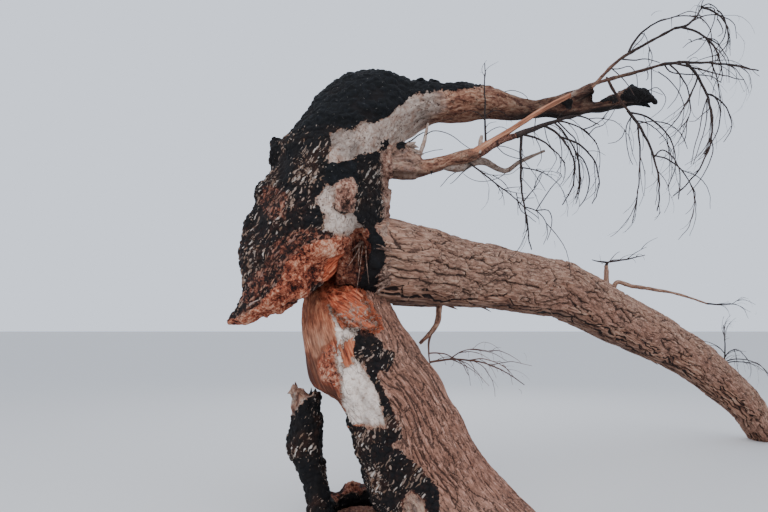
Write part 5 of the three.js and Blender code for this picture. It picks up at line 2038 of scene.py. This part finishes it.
def splinters(groups, seed):
    """Bodies of splinters, their grain, and the shares of each kind of surface on their points."""
    numbers = stream(seed)
    bodies, grains = [], []
    values = {kind: [] for kind in KINDS + ("warm", "dim")}
    for first, last, way, radius, count, look in groups:
        for _ in range(count):
            at, long, thick = next(numbers), 0.5 + next(numbers), 0.6 + 0.8 * next(numbers)
            shake = np.array([next(numbers) - 0.5 for _ in range(3)]) * np.linalg.norm(way)
            root = np.array(first) + at * (np.array(last) - first)
            ahead = long * (np.array(way) + 0.5 * shake)
            rows = [[*(root + s * ahead + 0.3 * s * s * shake), wide * thick * radius] for s, wide in OUTLINE]
            body = limb(rows, 10 * at, 0.5, 5, 0.02)
            points = np.array([vert.co for vert in body.verts])
            grains.append(Spine(rows, 0.01).grain(points) + len(bodies))
            for kind, of_kind in values.items():
                of_kind.append(np.full(len(points), float(look.get(kind, 0))))
            bodies.append(body)
    return bodies, np.vstack(grains), {kind: np.concatenate(parts) for kind, parts in values.items()}


splinter_bodies, splinter_grain, splinter_values = splinters(SPLINTERS, 29)
splinter_mesh = as_mesh("splinters_wood", splinter_bodies)
splinter_points, _ = read(splinter_mesh)
splinter_values["crack"] = np.full(len(splinter_points), NO_CRACK)
splinter_values["relief"] = np.zeros(len(splinter_points))
write(splinter_mesh, splinter_points, grain=splinter_grain, **splinter_values)
placed(splinter_mesh, "rotten_wood", WOOD)

# %% [markdown]
# ## The studio
#
# A pale floor and three large soft lights keep the eye on the wood. The camera stands at eye level,
# nearly five metres away, tilted up a little, with a wide lens.

# %% Floor, lights and camera
LIGHTS = (  # name, place, size and power
    ("key", (-4.0, -6.0, 8.0), 6.0, 380.0),
    ("fill", (7.0, -5.0, 5.0), 6.0, 170.0),
    ("back", (1.0, 8.0, 7.0), 6.0, 220.0),
)
AIM = Vector((0.3, 0.5, 2.0))  # what the lights point at


def studio():
    """Sets up the floor, the sky, the lights and the camera."""
    floor = bmesh.new()
    bmesh.ops.create_grid(floor, x_segments=1, y_segments=1, size=600.0)
    mesh = bpy.data.meshes.new("floor")
    floor.to_mesh(mesh)
    floor.free()
    paint = bpy.data.materials.new("pale_floor")
    paint.use_nodes = True
    shader = paint.node_tree.nodes["Principled BSDF"]
    shader.inputs["Base Color"].default_value = (0.62, 0.61, 0.6, 1)
    shader.inputs["Roughness"].default_value = 0.95
    mesh.materials.append(paint)
    stage = bpy.data.objects.new("floor", mesh)
    bpy.context.scene.collection.objects.link(stage)

    world = bpy.data.worlds.new("studio")
    world.use_nodes = True
    sky = world.node_tree.nodes["Background"]
    sky.inputs["Color"].default_value = (0.80, 0.87, 1.0, 1)
    sky.inputs["Strength"].default_value = 1.26
    bpy.context.scene.world = world

    for name, place, size, power in LIGHTS:
        light = bpy.data.lights.new(name, "AREA")
        light.size = size
        light.energy = power
        lamp = bpy.data.objects.new(name, light)
        lamp.location = place
        lamp.rotation_euler = (AIM - Vector(place)).to_track_quat("-Z", "Y").to_euler()
        bpy.context.scene.collection.objects.link(lamp)

    lens = bpy.data.cameras.new("camera")
    lens.sensor_width = 36.0
    lens.lens = 26.72  # FOCAL, for a picture 768 pixels wide
    camera = bpy.data.objects.new("camera", lens)
    camera.location = EYE
    camera.rotation_euler = (math.pi / 2 + TILT, 0, 0)
    bpy.context.scene.collection.objects.link(camera)
    bpy.context.scene.camera = camera


studio()
